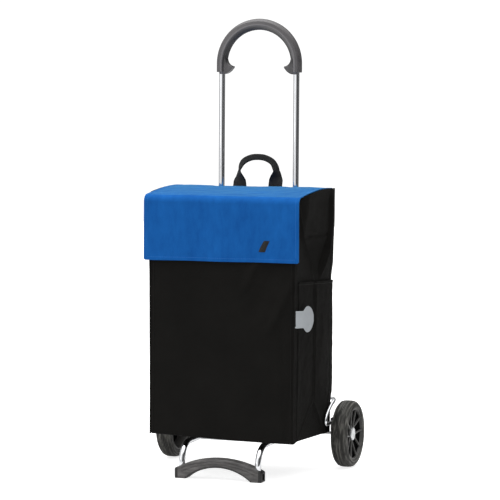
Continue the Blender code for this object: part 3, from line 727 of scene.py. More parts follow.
def make_grip():
    """A C-shaped moulding, ridged along its inner side, whose ends turn inwards as hooks."""
    front = [(GRIP_R, 0.0), (0.0119, 0.005), (0.01, 0.0094), (0.0064, 0.0122), (0.001, 0.0134)]
    front += [(-0.003, 0.0136), (-0.004, 0.0132), (-0.0068, 0.0088), (-0.01, 0.005), (-0.0128, 0.0024)]
    outline = [*front, (-0.0137, 0.0), *((n, -b) for n, b in reversed(front[1:]))]
    path = handle_path(GRIP_END_Z, 96)
    grip = sweep("grip_moulding", path, lambda length: outline, GRIP_PLASTIC, side=(0, 1, 0))
    hollow = arc((TRACK - 0.029, 0.011), 0.017, 0, -85, 12)
    belly = [(0.0287, -0.0075), (0.0268, -0.011), (0.0228, -0.016), (0.018, -0.0202), (0.013, -0.0231)]
    belly = [(TRACK - x, z) for x, z in (*belly, (0.008, -0.0244), (0.0, -0.0245))]
    back = [(TRACK + 0.004, -0.0245), (TRACK + 0.004, 0.011)]
    hooks = []
    for side, sign in SIDES.items():
        shape = [(sign * x, HANDLE_Z + z) for x, z in (*hollow, *belly, *back)]
        hooks.append(plate(f"hook_{side}", shape, 0.019, standing_at(FRAME_Y), GRIP_PLASTIC, 0.0035, 4))
    combine(grip, "UNION", hooks)
    remesh = grip.modifiers.new("remesh", "REMESH")
    remesh.mode = "VOXEL"
    remesh.voxel_size = 0.0009
    relax = grip.modifiers.new("relax", "SMOOTH")
    relax.factor = 0.5
    relax.iterations = 2
    apply_modifiers(grip)
    grip.data.transform(LEANED)
    grip.data.shade_smooth()
    place(grip, "frame", "grip_plastic", "grip")


def make_foot():
    """The arms, with the bend down into the foot, the bar between them and the foot itself."""
    leg_y = middle("foot_arch").y
    pivot_z = next(j for j in frame["joints"] if j["name"] == "foot_fold")["pos_m"][2]
    bend_r = 0.045
    bend = arc((leg_y + bend_r, pivot_z - bend_r), bend_r, 90, 180, 24)
    for side, sign in SIDES.items():
        x = sign * TRACK
        name = f"foot_arm_{side}"
        path = [(x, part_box(name)[1].y, pivot_z), *((x, y, z) for y, z in bend), (x, leg_y, 0.0105)]
        tube(name, path, TUBE_R, "foot", side=(1, 0, 0))
    centre = middle("carrier_bar")
    ends = [(end.x, centre.y, centre.z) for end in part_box("carrier_bar")]
    tube("carrier_bar", ends, CARRIER_R, "foot")
    make_foot_arch(leg_y)


def make_foot_arch(leg_y):
    """An arched block with two grooves along its face and a recess in both ends."""
    low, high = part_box("foot_arch")
    depth, top_r = high.y - low.y, 0.224
    top_centre = (0, high.z - top_r)
    spread = math.degrees(math.asin(FOOT_OPEN_HALF / FOOT_UNDER_R))
    under_z = -FOOT_UNDER_R * math.cos(math.radians(spread))
    under = arc((0, under_z), FOOT_UNDER_R, 90 + spread, 90 - spread, 48)
    out = math.degrees(math.asin(FOOT_HALF / top_r))
    outline = [(-FOOT_HALF, 0.0), *under, (FOOT_HALF, 0.0), *arc(top_centre, top_r, 90 - out, 90 + out, 48)]
    arch = plate("foot_arch_moulding", outline, depth, standing_at(leg_y), FOOT_PLASTIC, 0.0022)
    apply_modifiers(arch)
    cutters = []
    for inset, reach in ((0.0062, out - 1.6), (0.0128, out - 3.2)):
        line = arc(top_centre, top_r - inset, 90 - reach, 90 + reach, 40)
        path = [(x, leg_y - depth / 2, z) for x, z in line]
        cutters.append(sweep(f"groove_{inset}", path, circle(0.0012, 8), FOOT_PLASTIC, side=(0, 1, 0)))
    recess = [(-0.0068, 0.0045), (0.0068, 0.0045), (0.0068, 0.0185), (-0.0068, 0.0185)]
    for side, sign in SIDES.items():
        turn = Matrix(((0, 0, 1, sign * FOOT_HALF), (1, 0, 0, leg_y), (0, 1, 0, 0), (0, 0, 0, 1)))
        cutters.append(plate(f"recess_{side}", recess, 0.008, turn, FOOT_PLASTIC))
    combine(arch, "DIFFERENCE", cutters)
    shade(arch, 35)
    place(arch, "foot", "foot_plastic", "foot_arch")


# Wheels


def make_wheel(side, sign):
    """A tyre, a hub painted paler as though lit, a near-black disc of painted shade behind its spokes, and a
    silver cap.
    """
    low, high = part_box(f"tyre_{side}")
    centre = middle(f"tyre_{side}")
    radius, half = (high.z - low.z) / 2, (high.x - low.x) / 2
    hub_centre = centre + Vector((sign * HUB_OUT, 0, 0))
    body = f"wheel_{side}"
    tyre = turned(f"tyre_{side}_rubber", tyre_profile(radius, half), centre, RUBBER, 160, sign)
    place(tyre, body, "tyre", f"tyre_{side}")
    hub = make_hub(side, sign, centre, hub_centre, half)
    place(hub, body, "black_plastic", f"wheel_hub_{side}")
    # A near-black disc behind the spokes: painted shade.
    dish_r = WHEEL_RIM - 0.0026
    dish = [(dish_r, 0.0084), (dish_r, 0.0066), (0.017, 0.002), (0.017, 0.0038)]
    dish = turned(f"wheel_dish_{side}", dish, hub_centre, PAINTED_SHADE_DISH, 96, sign)
    place(dish, body, "black_plastic")
    cap_r, face, back = 0.015, 0.0108, 0.0063
    cap = [(0.0, face - 0.0002), (0.0034, face - 0.0002), (0.004, face), (cap_r - 0.0035, face)]
    cap += [(cap_r - 0.0012, face - 0.0004), (cap_r - 0.0003, face - 0.0012), (cap_r, face - 0.0024)]
    cap += [(cap_r, back), (0.0098, back), (0.0098, 0.0035), (0.0088, 0.0035), (0.0088, 0.0075)]
    cap += [(0.0, 0.0075)]
    cap = turned(f"hub_cap_{side}_silver", cap, hub_centre, SILVER, 64, sign, closed=False)
    place(cap, body, "silver_cap", f"hub_cap_{side}")


def tyre_profile(radius, half):
    """From the outer bead over a crowned tread with fine grooves to the inner bead."""
    side = [(WHEEL_RIM, half - 0.0026), (WHEEL_RIM + 0.0012, half - 0.0008), (WHEEL_RIM + 0.003, half)]
    wall = [(0.0126, 0.0001), (0.011, 0.0006), (0.0106, 0.0022), (0.0096, 0.0024), (0.009, 0.0009)]
    side += [(radius - under, half - inset) for under, inset in wall]

    def crown(at):
        return radius - 0.0086 * (at / half) ** 3.6

    side += [(crown(at), at) for at in (half - 0.0012, half - 0.0024, half - 0.0038)]
    depth, width = 0.0022, 0.0009
    for at in (0.0132, 0.0094, 0.0056, 0.0018):
        floor = crown(at) - depth
        side += [(crown(at), at + width), (floor, at + width * 0.45), (floor, at - width * 0.45)]
        side += [(crown(at), at - width)]
    return side + [(r, -x) for r, x in reversed(side)]


def make_hub(side, sign, centre, hub_centre, half):
    """A rim and a boss joined by five spokes of two ribs each."""
    lip = half - 0.003
    band = [(0.0004, lip), (0.0004, -lip), (0.0024, -lip), (0.003, -lip + 0.001)]
    band += [(0.0036, -0.002), (0.0036, 0.002), (0.003, lip - 0.001), (0.0024, lip)]
    band = [(WHEEL_RIM - under, x) for under, x in band]
    hub = turned(f"wheel_hub_{side}_moulding", band, centre, LIT_HUB_PLASTIC, 96, sign)
    boss = [(0.0, 0.0058), (0.0168, 0.0058), (0.018, 0.0046), (0.0184, -0.01), (0.017, -0.0185)]
    boss += [(0.0, -0.0185)]
    joined = [turned(f"boss_{side}", boss, hub_centre, LIT_HUB_PLASTIC, 64, sign, closed=False)]
    outer = WHEEL_RIM - 0.002
    rib = [(0.0, 0.012), (0.0072, 0.012), (0.0078, 0.02), (0.0118, outer - 0.006), (0.0124, outer)]
    rib = [(sign * x, r) for x, r in (*rib, (0.006, outer))]
    standing = Matrix(((1, 0, 0, 0), (0, 0, 1, 0), (0, 1, 0, 0), (0, 0, 0, 1)))
    for number in range(5):
        turn = Matrix.Translation(hub_centre) @ Matrix.Rotation(2 * math.pi * number / 5, 4, "X")
        for edge in (-1, 1):
            spread = Matrix.Rotation(-math.radians(11.0) * edge, 4, "X")
            matrix = turn @ Matrix.Translation((0, edge * 0.0052, 0)) @ spread @ standing
            joined.append(plate(f"rib_{side}_{number}_{edge}", rib, 0.0034, matrix, LIT_HUB_PLASTIC, 0.0008, 2))
    combine(hub, "UNION", joined)
    return shade(hub, 35)


# Bag


def lid_z(y):
    """Height of the lid's outer face over this depth."""
    share = (y - LID_LOW.y) / (LID_HIGH.y - LID_LOW.y)
    return LID_FRONT_Z + share * (LID_BACK_Z - LID_FRONT_Z) + 4 * LID_CROWN * share * (1 - share)


def rise(x, y):
    """The board under the lid holds its rear third up, and less so near the hinge."""
    share = ease(LID_LOW.y + 0.04, 0.046, y)
    share = share * (1 - 0.8 * ease(0.046, 0.066, y) * ease(0.13, 0.112, np.abs(x)))
    height = 0.0034 + 0.0012 * ease(-0.06, 0.06, x) - 0.0014 * ease(0.15, 0.174, x)
    return share * (height - 0.001 * bump(np.abs(x), TRACK, 0.01))


def rim_z(y):
    """Height of the bag's rim, which follows the lid's underside."""
    centre_y = LID_LOW.y + LID_BEND
    radius = LID_BEND - RIM_DROP
    bend = lid_z(centre_y) - LID_BEND + np.sqrt(np.clip(radius**2 - (y - centre_y) ** 2, 0, None))
    return np.where(y < centre_y, bend, lid_z(y) - RIM_DROP)


def bag_outline():
    """The bag's plan as (x, y) from the left front corner round to the right."""
    half, front, back = BAG_HIGH.x, BAG_LOW.y, BAG_HIGH.y
    small, large = 0.005, 0.012
    corners = [(half - small, front + small, small, 6, 110), (half - large, back - large, large, 8, 100)]
    corners += [(large - half, back - large, large, 8, 60), (small - half, front + small, small, 6, 100)]
    points, start = [], (small - half, front)
    for number, (x, y, radius, steps, straight) in enumerate(corners):
        turn = arc((x, y), radius, 90 * number - 90, 90 * number, steps)
        points += [*np.linspace(start, turn[0], straight, endpoint=False), *turn[:-1]]
        start = turn[-1]
    return np.array(points), lengths_along([*points, points[0]])


def side_relief(y, z):
    """How far a side stands out or in above the pocket: a folded-in gusset and a crease across it."""
    hem = POCKET_HIGH.z
    front_ridge = np.interp(z, [hem - 0.02, 0.475, CREASE_Z, 0.62], [-0.035, -0.064, -0.121, -0.148])
    heights = [hem - 0.02, hem + 0.02, 0.508, CREASE_Z, 0.64]
    rear_ridge = np.interp(z, heights, [-0.03, -0.005, 0.03, 0.038, 0.04])
    between = ease(-0.003, 0.009, y - front_ridge) * ease(-0.003, 0.009, rear_ridge - y)
    high = ease(hem - 0.005, hem + 0.04, z)
    depth = 0.0045 + 0.0055 * ease(CREASE_Z + 0.002, CREASE_Z - 0.035, z)
    ridges = 0.0036 * bump(y, front_ridge - 0.003, 0.006) + 0.0042 * bump(y, rear_ridge + 0.003, 0.0055)
    crease = 0.0038 * bump(z, CREASE_Z, 0.0035) * ease(-0.13, -0.09, y) * ease(0.045, 0.02, y)
    return high * (ridges - between * depth) - crease


def gathered(y, z):
    """Two folds that spread from the foot of the pocket's pleat to the floor, and the hollow between them."""
    low = np.clip((0.172 - z) / 0.082, 0, 1)
    begun = ease(0.0, 0.2, low)
    left, right = PLEAT_Y - 0.085 * low, PLEAT_Y + 0.075 * low
    relief = 0.0024 * begun * (bump(y, left, 0.0045) + bump(y, right, 0.0045))
    return relief - 0.0028 * begun * ease(0.0, 0.016, y - left) * ease(0.0, 0.016, right - y)


def front_relief(x, z, points):
    """Soft hollows and folds of the front panel."""
    half = BAG_HIGH.x
    belly = 0.0012 * (1 - (x / half) ** 2)
    across = 0.89 * x - 0.45 * z
    folds = 0.0036 * bump(across, -0.144, 0.01) * ease(0.4, 0.44, z)
    folds += 0.0042 * bump(across, -0.05, 0.011) * ease(0.31, 0.35, z) * ease(0.46, 0.42, z)
    folds -= 0.0028 * bump(across, -0.1, 0.02) * ease(0.33, 0.38, z)
    sags = 0.0016 * bump(z, 0.445 + 0.25 * np.abs(x + 0.02), 0.012) * ease(0.13, 0.05, np.abs(x))
    edge = ease(0.1, 0.16, np.abs(x))
    upright_folds = 0.0011 * edge * ripples(points * (1, 1, 0.18), 0.018, 3.0)
    broad = 0.0012 * ripples(points, 0.1, 7.0) + 0.0006 * ripples(points, 0.035, 11.0)
    quiet = ease(half, half - 0.015, np.abs(x))
    return belly + (folds + sags + broad + upright_folds) * quiet


def side_droop(x, y):
    """How low the bottom's edge hangs along a side."""
    side = np.interp(y, [-0.155, -0.118, -0.048, 0.024, 0.071], [-0.0045, -0.004, -0.006, -0.008, -0.009])
    return np.where(np.asarray(x) < 0, 0.5 * side, side)


def droop(points):
    """The bottom's edge hangs below the floor board, lower to the right and to the rear."""
    x, y = points[:, 0], points[:, 1]
    places = [-0.172, -0.1, -0.05, 0.02, 0.1, 0.172]
    front = np.interp(x, places, [0.001, -0.001, -0.0033, -0.0053, -0.0068, -0.0072])
    share = ease(0.12, 0.165, np.abs(x))
    front_share = ease(BAG_LOW.y + 0.03, BAG_LOW.y + 0.004, y)
    return front * front_share + side_droop(x, y) * share * (1 - front_share)


def make_bag_body():
    """Rings of the outline: from the middle of the floor out, round its edge and up the walls to the rim."""
    outline, along = bag_outline()
    tangent = np.roll(outline, -1, axis=0) - np.roll(outline, 1, axis=0)
    tangent /= np.linalg.norm(tangent, axis=1)[:, None]
    outward = np.stack([tangent[:, 1], -tangent[:, 0]], axis=1)
    centre = np.array([0.0, (BAG_LOW.y + BAG_HIGH.y) / 2])
    floor_z, corner = BAG_LOW.z, 0.005
    hang = droop(outline)
    rows, lengths = [], []
    for scale in np.linspace(0.04, 1.0, 18):
        inset = centre + (outline - outward * corner - centre) * scale
        height = floor_z + hang * ease(0.82, 1.0, scale)
        rows.append(np.column_stack([inset, height]))
        lengths.append(-0.1 + 0.09 * scale)
    for a in np.linspace(15, 75, 5):
        turn = math.radians(a)
        ring = outline - outward * corner * (1 - math.sin(turn))
        rows.append(np.column_stack([ring, floor_z + hang + corner * (1 - math.cos(turn))]))
        lengths.append(corner * turn)
    start = floor_z + hang + corner
    rim = rim_z(outline[:, 1]) + rise(outline[:, 0], outline[:, 1])
    for share in np.linspace(0, 1, 128):
        rows.append(np.column_stack([outline, start + (rim - start) * share]))
        lengths.append(0.01 + 0.53 * share)
    points = np.array(rows)
    walls = ease(floor_z - 0.012, floor_z + 0.015, points[..., 2])
    points[..., :2] += outward[None] * (bag_push(points, outward) * walls)[..., None]
    proud = ease(BAG_HIGH.x + 0.005, BAG_HIGH.x + 0.009, np.abs(points[-1, :, 0]))
    points[..., 2] += ease(0.55, 0.63, points[..., 2]) * (RIM_DROP - 0.0002) * proud[None]
    bag = sheet("bag_body_fabric", points, along, lengths, BLACK_FABRIC, 0.0015, wrap=True)
    soft_piece(bag, "frame", "black_fabric", "bag_body")
    make_seams(points, outline)


def make_seams(points, outline):
    """Raised seams: one beside each front corner and one down each side near the back."""
    for side, sign in SIDES.items():
        spots = ((sign * (BAG_HIGH.x - 0.0072), BAG_LOW.y), (sign * BAG_HIGH.x, REAR_SEAM_Y))
        for number, spot in enumerate(spots):
            column = int(np.argmin(np.linalg.norm(outline - spot, axis=1)))
            start = 0.16 if number == 1 else BAG_LOW.z + 0.004
            path = [p for p in points[:, column] if p[2] > start]
            seam = sweep(f"seam_{side}_{number}", path[:-1], circle(0.0009, 10), PIPING, leaning=True)
            soft_piece(seam, "frame", "black_fabric")


def flare(y, z):
    """The sides stand wider towards the rear and the top, where the lid's edge holds them out."""
    front = BAG_LOW.y
    rearward = ease(front, 0.045, y)
    at_rim = ease(front + 0.004, front + 0.05, y)
    share = rearward + (at_rim - rearward) * ease(0.5, 0.61, z)
    heights = [0.08, 0.1, 0.155, 0.18, 0.29, 0.37, 0.44, 0.47]
    wide = np.interp(z, heights, [0.0088, 0.0094, 0.0098, 0.0128, 0.013, 0.012, 0.0112, 0.0134])
    wide = wide + 0.0026 * ease(0.47, 0.63, z)
    return share * wide + 0.0018 * ease(0.15, 0.48, z) + 0.0018 * ease(0.43, 0.53, z)


def bag_push(points, outward):
    """How far each point of the walls stands out from the bag's plain outline."""
    x, y, z = points[..., 0], points[..., 1], points[..., 2]
    is_side = ease(0.5, 0.95, np.abs(outward[:, 0]))[None]
    is_front = ease(0.5, 0.95, -outward[:, 1])[None]
    is_back = ease(0.5, 0.95, outward[:, 1])[None]
    under_rim = ease(0.632, 0.61, z)
    side = side_relief(y, z) + 0.0014 * ripples(points, 0.045, 5.0) * ease(0.11, 0.16, z)
    side = flare(y, z) + side * (0.25 + 0.75 * under_rim)
    front = front_relief(x, z, points) * under_rim
    back = 0.0002 + 0.0005 * ripples(points, 0.06, 9.0)
    return side * is_side + front * is_front + back * is_back


def hem_z(y):
    """Height of the pocket's hem, a little lower at the back."""
    return POCKET_HIGH.z + 0.0039 - 0.0405 * (y + 0.148)


def make_pocket(side, sign):
    """A flat pocket with a folded hem, a pleat down its middle and the rear seam running through it."""
    low, high = POCKET_LOW, POCKET_HIGH
    ys = np.linspace(BAG_LOW.y + 0.01, high.y + 0.004, 150)
    shares = np.linspace(0, 1, 190)
    y, share = np.meshgrid(ys, shares)
    z = low.z + (hem_z(y) - low.z) * share
    z = z + side_droop(sign, y) * ease(0.3, 0.0, share)
    points = np.stack([np.full_like(y, high.x), y, z], axis=-1)
    open_up = ease(0.15, 0.19, z)
    full = 0.0018 * ease(low.y, low.y + 0.05, y) * ease(high.y, high.y - 0.03, y)
    pleat = 0.0019 * bump(y, PLEAT_Y - 0.004, 0.003) - 0.003 * bump(y, PLEAT_Y + 0.0045, 0.0042)
    pleat -= 0.001 * ease(PLEAT_Y, PLEAT_Y + 0.006, y) * ease(PLEAT_Y + 0.05, PLEAT_Y + 0.02, y)
    stand = 0.0016 + 0.7 * gathered(y, z) + open_up * (full + pleat)
    below = hem_z(y) - z
    stand += 0.0006 * ease(0.0066, 0.0052, below) - 0.0006 * bump(below, 0.0058, 0.001)
    stand += 0.001 * bump(below, 0.0, 0.0012) + 0.0012 * bump(y, REAR_SEAM_Y, 0.0017)
    slack = (0.3 + 0.7 * open_up) * ease(0.0, 0.03, below) * ease(0.0, 0.05, share)
    stand += slack * 0.0014 * ripples(points * (1, 1, 0.35), 0.03, 2.0 + sign)
    stand += slack * 0.0007 * ripples(points, 0.014, 4.0)
    x = BAG_HIGH.x + flare(y, np.minimum(z, POCKET_HIGH.z)) + stand
    x -= (0.002 + 0.0034 * ease(0.0, 0.5, share)) * ease(ys[0] + 0.008, ys[0], y)
    points[..., 0] = sign * x
    grid = points[:, ::-1] if sign < 0 else points
    name = f"side_pocket_{side}"
    up = low.z + shares * 0.285
    pocket = sheet(f"{name}_fabric", grid, ys - ys[0], up, BLACK_FABRIC, 0.0011, 0.0004)
    soft_piece(pocket, "frame", "black_fabric", name)
    out = Vector((sign, 0, 0))
    row = int(np.argmin(np.abs(below[:, 70] - 0.0058)))
    rows = [[(LEANED @ (Vector(p) + out * 0.0003), out) for p in points[row]]]
    soft_piece(stitches(f"pocket_stitches_{side}", rows, BLACK_THREAD), "frame", "black_fabric")


def make_piping(side, sign):
    """The corded seam up each front corner."""
    start, end = BAG_LOW.z + 0.001, float(rim_z(np.array(BAG_LOW.y + 0.002)))
    path = []
    for z in np.linspace(start, end, 120):
        wide = float(flare(np.array(BAG_LOW.y), np.array(z)))
        wave = 0.0005 * ripple(0, 0, z, 0.03, sign)
        path.append((sign * (BAG_HIGH.x - 0.0008 + wide + wave), BAG_LOW.y + 0.0006 + wave, z))
    cord = sweep(f"front_piping_{side}_cord", path, circle(0.0017, 12), PIPING, leaning=True)
    soft_piece(cord, "frame", "black_fabric", f"front_piping_{side}")


def make_patches():
    """The touch-fastener patches on the bag and the lid."""
    for side in SIDES:
        for owner, body in (("bag", "frame"), ("lid", "lid")):
            name = f"{owner}_patch_{side}"
            low, high = upright_box(name)
            xs, zs = np.linspace(low.x, high.x, 26), np.linspace(low.z, high.z, 14)
            x, z = np.meshgrid(xs, zs)
            points = np.stack([x, np.full_like(x, low.y), z], axis=-1)
            if owner == "bag":
                points[..., 1] -= front_relief(x, z, points) + 0.0006
            else:
                points[..., 1] += 0.0012
            patch = sheet(f"{name}_tape", points, xs - xs[0], zs, WEBBING, high.y - low.y, 0.0002)
            soft_piece(patch, body, "webbing", name)


def lid_section():
    """The lid's outer face from its back, round the front bend, to the hem: points and outward normals."""
    start = LID_LOW.y + LID_BEND
    centre = (start, lid_z(start) - LID_BEND)
    slope = math.degrees(math.atan((lid_z(start + 0.001) - lid_z(start - 0.001)) / 0.002))
    top = [(y, lid_z(y)) for y in np.linspace(LID_HIGH.y, start, 70, endpoint=False)]
    bend = arc(centre, LID_BEND, 90 + slope, 180, 18)
    flap = [(LID_LOW.y, z) for z in np.linspace(centre[1], LID_LOW.z, 70)][1:]
    profile = np.array(top + bend + flap)
    tangent = np.gradient(profile, axis=0)
    tangent /= np.linalg.norm(tangent, axis=1)[:, None]
    return profile, np.stack([tangent[:, 1], -tangent[:, 0]], axis=1), centre


def make_lid():
    """One sheet over the top, round a soft front bend and down to a stitched hem."""
    profile, normal, centre = lid_section()
    lengths = lengths_along(profile)
    even = np.linspace(-1, 1, 150)
    across = np.sign(even) * (1 - (1 - np.abs(even)) ** 1.25)
    to_hem = lengths[-1] - lengths
    corner = 0.004
    rounded = corner - np.sqrt(np.clip(corner**2 - (corner - to_hem) ** 2, 0, None))
    cut = np.where(to_hem < corner, rounded, 0.0)
    rear = ease(centre[0] + 0.03, LID_HIGH.y - 0.03, profile[:, 0])
    half = LID_HIGH.x - 0.0022 + 0.002 * rear
    lower = ease(0.6, LID_LOW.z, profile[:, 1])[:, None]
    flat = across[None, :] * (half - cut)[:, None]
    x = flat - (0.0044 + 0.0008 * lower) * ease(0.0, 1.0, -across) + 0.0008 * lower * np.abs(across)
    points = np.stack([x, *(np.repeat(profile[:, k : k + 1], len(across), axis=1) for k in (0, 1))], axis=-1)
    y, z = points[..., 1], points[..., 2]
    share = x / half[:, None]
    from_side = half[:, None] - np.abs(flat)
    on_flap = ease(centre[1] + 0.005, centre[1] - 0.03, z)
    on_top = ease(centre[0], centre[0] + 0.02, y)
    soft = 0.0011 * ripples(points, 0.075, 13.0) + 0.0006 * ripples(points, 0.028, 17.0)
    lift = soft * (0.35 + 0.65 * ease(0, 0.03, from_side))
    lift += 0.0007 * on_flap * np.sin(2.3 * math.pi * share + 0.9) * ease(0.1, 0.0, z - LID_LOW.z)
    lift -= 0.0012 * on_top * (1 - share**2) * np.sin(math.pi * ease(centre[0], LID_HIGH.y, y))
    band = np.minimum(from_side, to_hem[:, None])
    lift += 0.0006 * ease(0.01, 0.0085, band) - 0.0005 * bump(band, 0.008, 0.0012)
    points[..., 1:] += normal[:, None, :] * lift[..., None]
    points[..., 2] += rise(x, y)
    tilt = 0.001 * share - 0.0003 * np.cos(2.2 * math.pi * share)
    points[..., 2] += tilt * on_flap * ease(0.08, 0.0, z - LID_LOW.z)
    wide = LID_HIGH.x * (1 - across[::-1])
    lid = sheet("lid_suede", points[:, ::-1], wide, lengths, BLUE_SUEDE, 0.0024, 0.0007)
    soft_piece(lid, "lid", "blue_fabric", "lid_cover")
    make_lid_stitches(points, normal, from_side, to_hem)


def make_lid_stitches(points, normal, from_side, to_hem):
    """One row of thread inside the hem and both side edges."""
    inset = 0.008
    turn = LEANED.to_3x3()
    middle_row = len(to_hem) // 2
    columns = np.argsort(np.abs(from_side[middle_row] - inset))
    left = next(j for j in columns if points[middle_row, j, 0] < 0)
    right = next(j for j in columns if points[middle_row, j, 0] > 0)
    hem = int(np.argmin(np.abs(to_hem - inset)))

    def leaned(i, j):
        return LEANED @ Vector(points[i, j]), turn @ Vector((0, *normal[i]))

    rows = [[leaned(i, j) for i in range(hem + 1)] for j in (left, right)]
    rows.append([leaned(hem, j) for j in range(left, right + 1)])
    soft_piece(stitches("lid_stitches", rows, BLUE_THREAD), "lid", "blue_fabric")


def board_grid(name, columns, rows):
    low, high = upright_box(name)
    xs, ys = np.linspace(low.x, high.x, columns), np.linspace(low.y, high.y, rows)
    return xs, ys, *np.meshgrid(xs, ys)


def make_base_board():
    """The floor board inside the bag, which swings up with the foot."""
    xs, ys, x, y = board_grid("base_board", 24, 16)
    points = np.stack([x, y, np.full_like(x, BAG_LOW.z + 0.0045)], axis=-1)
    board = sheet("base_board_panel", points, xs, ys, BOARD, 0.0018, 0.0003)
    place(board, "foot", "board", "base_board")


def make_lid_board():
    """The lined board that stiffens the lid's top from below."""
    xs, ys, x, y = board_grid("lid_board", 20, 12)
    points = np.stack([x, y, lid_z(y) + rise(x, y) - 0.0058], axis=-1)
    board = sheet("lid_board_lining", points[:, ::-1], xs, ys, BLACK_FABRIC, -0.0018, 0.0004)
    soft_piece(board, "lid", "board", "lid_board")


def make_label():
    """A blank flag sewn into the right front seam: a straight neck, then a rounded head that curls back."""
    neck, shoulder, length = 0.0217, 0.0342, 0.06
    neck_half, head_half = 0.019, 0.029
    at = np.concatenate([np.linspace(0, neck, 14), np.linspace(neck, shoulder, 12)[1:]])
    at = np.concatenate([at, shoulder + (length - shoulder) * np.sin(np.linspace(0, math.pi / 2, 26))[1:]])
    rising = np.sin(np.clip((at - neck) / (shoulder - neck), 0, 1) * math.pi / 2)
    ending = np.sqrt(np.clip(1 - np.clip((at - shoulder) / (length - shoulder), 0, 1) ** 2, 0.0004, 1))
    tall = (neck_half + (head_half - neck_half) * rising) * ending
    angle = np.radians(38 + 40 * np.clip(at / neck / 2, 0, 1))
    step = np.diff(at, prepend=0)
    x = BAG_HIGH.x + 0.001 + np.cumsum(np.cos(angle) * step)
    y = BAG_LOW.y - 0.0006 + np.cumsum(np.sin(angle) * step)
    up = np.linspace(-1, 1, 28)
    points = np.stack([np.repeat(v[None, :], len(up), axis=0) for v in (x, y, x)], axis=-1)
    points[..., 2] = LABEL_Z + up[:, None] * tall[None, :]
    edge = np.minimum((1 - np.abs(up))[:, None] * tall[None, :], (length - at)[None, :])
    raised = 0.0004 * (ease(0.0034, 0.0026, edge) - ease(0.0008, 0.0, edge))
    points[..., 0] += raised * np.sin(angle)
    points[..., 1] -= raised * np.cos(angle)
    flag = sheet("label_tab_tape", points, at, LABEL_Z + up * head_half, LABEL, 0.0012, 0.0003)
    soft_piece(flag, "frame", "label", "label_tab")


def make_carry_strap():
    """A webbing loop: flat where it is sewn on, edge-on above the lid and folded double over the top."""
    middle_y = (STRAP_LOW.y + STRAP_HIGH.y) / 2

    def at_height(x, z):
        return Vector((x, middle_y + 0.0042 * float(ease(0.632, 0.656, z)), z))

    leg = [(0.0435, STRAP_LOW.z), (0.0435, 0.62), (0.0435, 0.645), (0.0445, 0.662), (0.045, 0.68)]
    right = [at_height(x, z) for x, z in (*leg, (0.0365, 0.698), (0.019, 0.708))]
    path = through([*mirrored(right), at_height(0.0, 0.7105), *reversed(right)], 10)
    at = lengths_along(path)

    def section(length):
        z = np.interp(length, at, [p.z for p in path])
        wide = np.interp(z, [0.64, 0.658, 0.68, 0.694, 0.712], [0.017, 0.016, 0.01, 0.0076, 0.0072])
        thick = np.interp(z, [0.64, 0.665, 0.68, 0.712], [0.0009, 0.0012, 0.0024, 0.0032])
        turn = math.radians(np.interp(z, [0.64, 0.655, 0.68, 0.7, 0.712], [0, 8, 66, 20, 8]))
        across = Vector((math.cos(turn), math.sin(turn)))
        outline = []
        for a in circle_angles(32):
            flat = wide * math.copysign(abs(math.cos(a)) ** 0.45, math.cos(a))
            deep = thick * math.copysign(abs(math.sin(a)) ** 0.6, math.sin(a))
            outline.append(tuple(across * flat + across.orthogonal() * deep))
        return outline

    strap = sweep("carry_strap_webbing", path, section, WEBBING, leaning=True, side=(0, 1, 0))
    place(strap, "frame", "webbing", "carry_strap")


def make_loops():
    """Bands of webbing sewn flat to the bag's back on both sides of an upright and passed round behind it."""
    back = BAG_HIGH.y + 0.0004
    turn = arc((0, FRAME_Y), 0.0086, -28, 208, 40)
    right = [(0.021, back), (0.014, back), (0.0108, back + 0.001), (0.0092, back + 0.0038)]
    path = [*right, *turn, *((-x, y) for x, y in reversed(right))]
    path = [p.to_2d() for p in through([(x, y, 0) for x, y in path], 2)]
    at = lengths_along(path)
    ups = np.linspace(-1, 1, 15)
    for side, sign in SIDES.items():
        for where in ("upper", "lower"):
            name = f"bag_loop_{side}_{where}"
            low, high = upright_box(name)
            points = np.zeros((len(ups), len(path), 3))
            for i, up in enumerate(ups):
                z = (low.z + high.z) / 2 + up * (high.z - low.z) / 2
                for j, (x, y) in enumerate(path):
                    wave = 0.0003 * ripple(x, y, up * 0.012, 0.012, sign + low.z)
                    points[i, j] = (sign * TRACK + x, y + wave, z)
            band = sheet(f"{name}_webbing", points, at, ups * 0.0125, WEBBING, 0.0011, 0.0003)
            place(band, "frame", "webbing", name)


# Camera, floor and light


def aim(obj, location, direction):
    obj.location = location
    obj.rotation_mode = "QUATERNION"
    obj.rotation_quaternion = Vector(direction).to_track_quat("-Z", "Y")


def make_camera():
    camera = bpy.data.cameras.new("camera")
    camera.sensor_width = 36.0
    camera.lens = 187.8
    obj = add_object("camera", camera)
    aim(obj, (2.0273, -5.5665, 1.0083), (-0.3391, 0.9369, -0.0851))
    bpy.context.scene.camera = obj


def area_light(name, location, size, power):
    """A soft light that faces the middle of the trolley."""
    light = bpy.data.lights.new(name, "AREA")
    light.shape = "RECTANGLE"
    light.size, light.size_y = size
    light.energy = power
    aim(add_object(name, light), location, Vector((0, 0, 0.5)) - Vector(location))


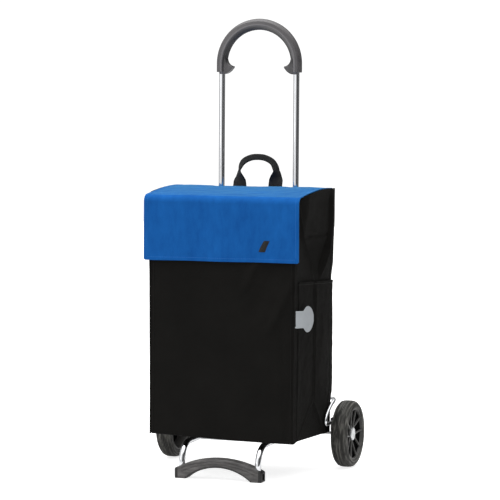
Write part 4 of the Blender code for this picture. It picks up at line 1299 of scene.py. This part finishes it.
def make_studio():
    """A pale floor that is white to the camera and, near the trolley, to its shiny parts."""
    paint = Paint("studio_floor", (0.6, 0.6, 0.6), 0.8, specular=0.0)
    rays = paint.add("ShaderNodeLightPath").outputs
    away = paint.add("ShaderNodeVectorMath", paint.place, operation="LENGTH").outputs["Value"]
    near = paint.remap(away, 0.7, 1.5, 0.5, 0.0)
    seen = paint.calc("ADD", rays["Is Camera Ray"], paint.calc("MULTIPLY", rays["Is Glossy Ray"], near))
    paint.set(Emission_Color=(1, 1, 1), Emission_Strength=paint.calc("MULTIPLY", seen, 0.8))
    shape = bmesh.new()
    bmesh.ops.create_grid(shape, x_segments=1, y_segments=1, size=7)
    floor = from_shape("floor", shape, paint.material)
    floor.location.z = -0.0005
    area_light("overhead", (-0.8, -0.3, 3.4), (2.4, 2.4), 46)
    area_light("left_softbox", (-2.4, -3.0, 1.8), (1.2, 2.4), 11)
    make_world()
    bpy.context.scene.view_settings.view_transform = "Standard"


def make_world():
    """White to the camera; to everything else bright from the left and above and dark from the right."""
    world = bpy.data.worlds.new("studio")
    bpy.context.scene.world = world
    world.use_nodes = True
    nodes = Nodes(world.node_tree)
    towards = nodes.add("ShaderNodeTexCoord").outputs["Generated"]
    view = bpy.context.scene.camera.rotation_quaternion

    def along(axis):
        flat = view @ Vector(axis)
        flat = Vector((flat.x, flat.y, 0)).normalized()
        return nodes.add("ShaderNodeVectorMath", towards, flat, operation="DOT_PRODUCT").outputs["Value"]

    behind_camera = along((0, 0, 1))
    left_tone = nodes.remap(behind_camera, -1.0, 0.85, 0.42, 0.98)
    right_tone = nodes.remap(behind_camera, -1.0, 0.6, 0.24, 0.09)
    tone = nodes.remap(along((1, 0, 0)), -0.1, 0.04, left_tone, right_tone)
    height = nodes.add("ShaderNodeSeparateXYZ", towards).outputs["Z"]
    lit = nodes.remap(height, 0.55, 0.75, tone, 1.7)
    camera_ray = nodes.add("ShaderNodeLightPath").outputs["Is Camera Ray"]
    background = nodes.tree.nodes["Background"]
    nodes.put(background.inputs["Strength"], nodes.remap(camera_ray, 0.0, 1.0, lit, 1.1))
    nodes.put(background.inputs["Color"], (1, 1, 1))


paint_frame()
make_camera()
make_studio()
make_tubes()
make_grip()
make_foot()
for wheel_side, wheel_sign in SIDES.items():
    make_wheel(wheel_side, wheel_sign)
make_bag_body()
make_base_board()
for pocket_side, pocket_sign in SIDES.items():
    make_pocket(pocket_side, pocket_sign)
    make_piping(pocket_side, pocket_sign)
make_patches()
make_lid()
make_lid_board()
make_label()
make_carry_strap()
make_loops()
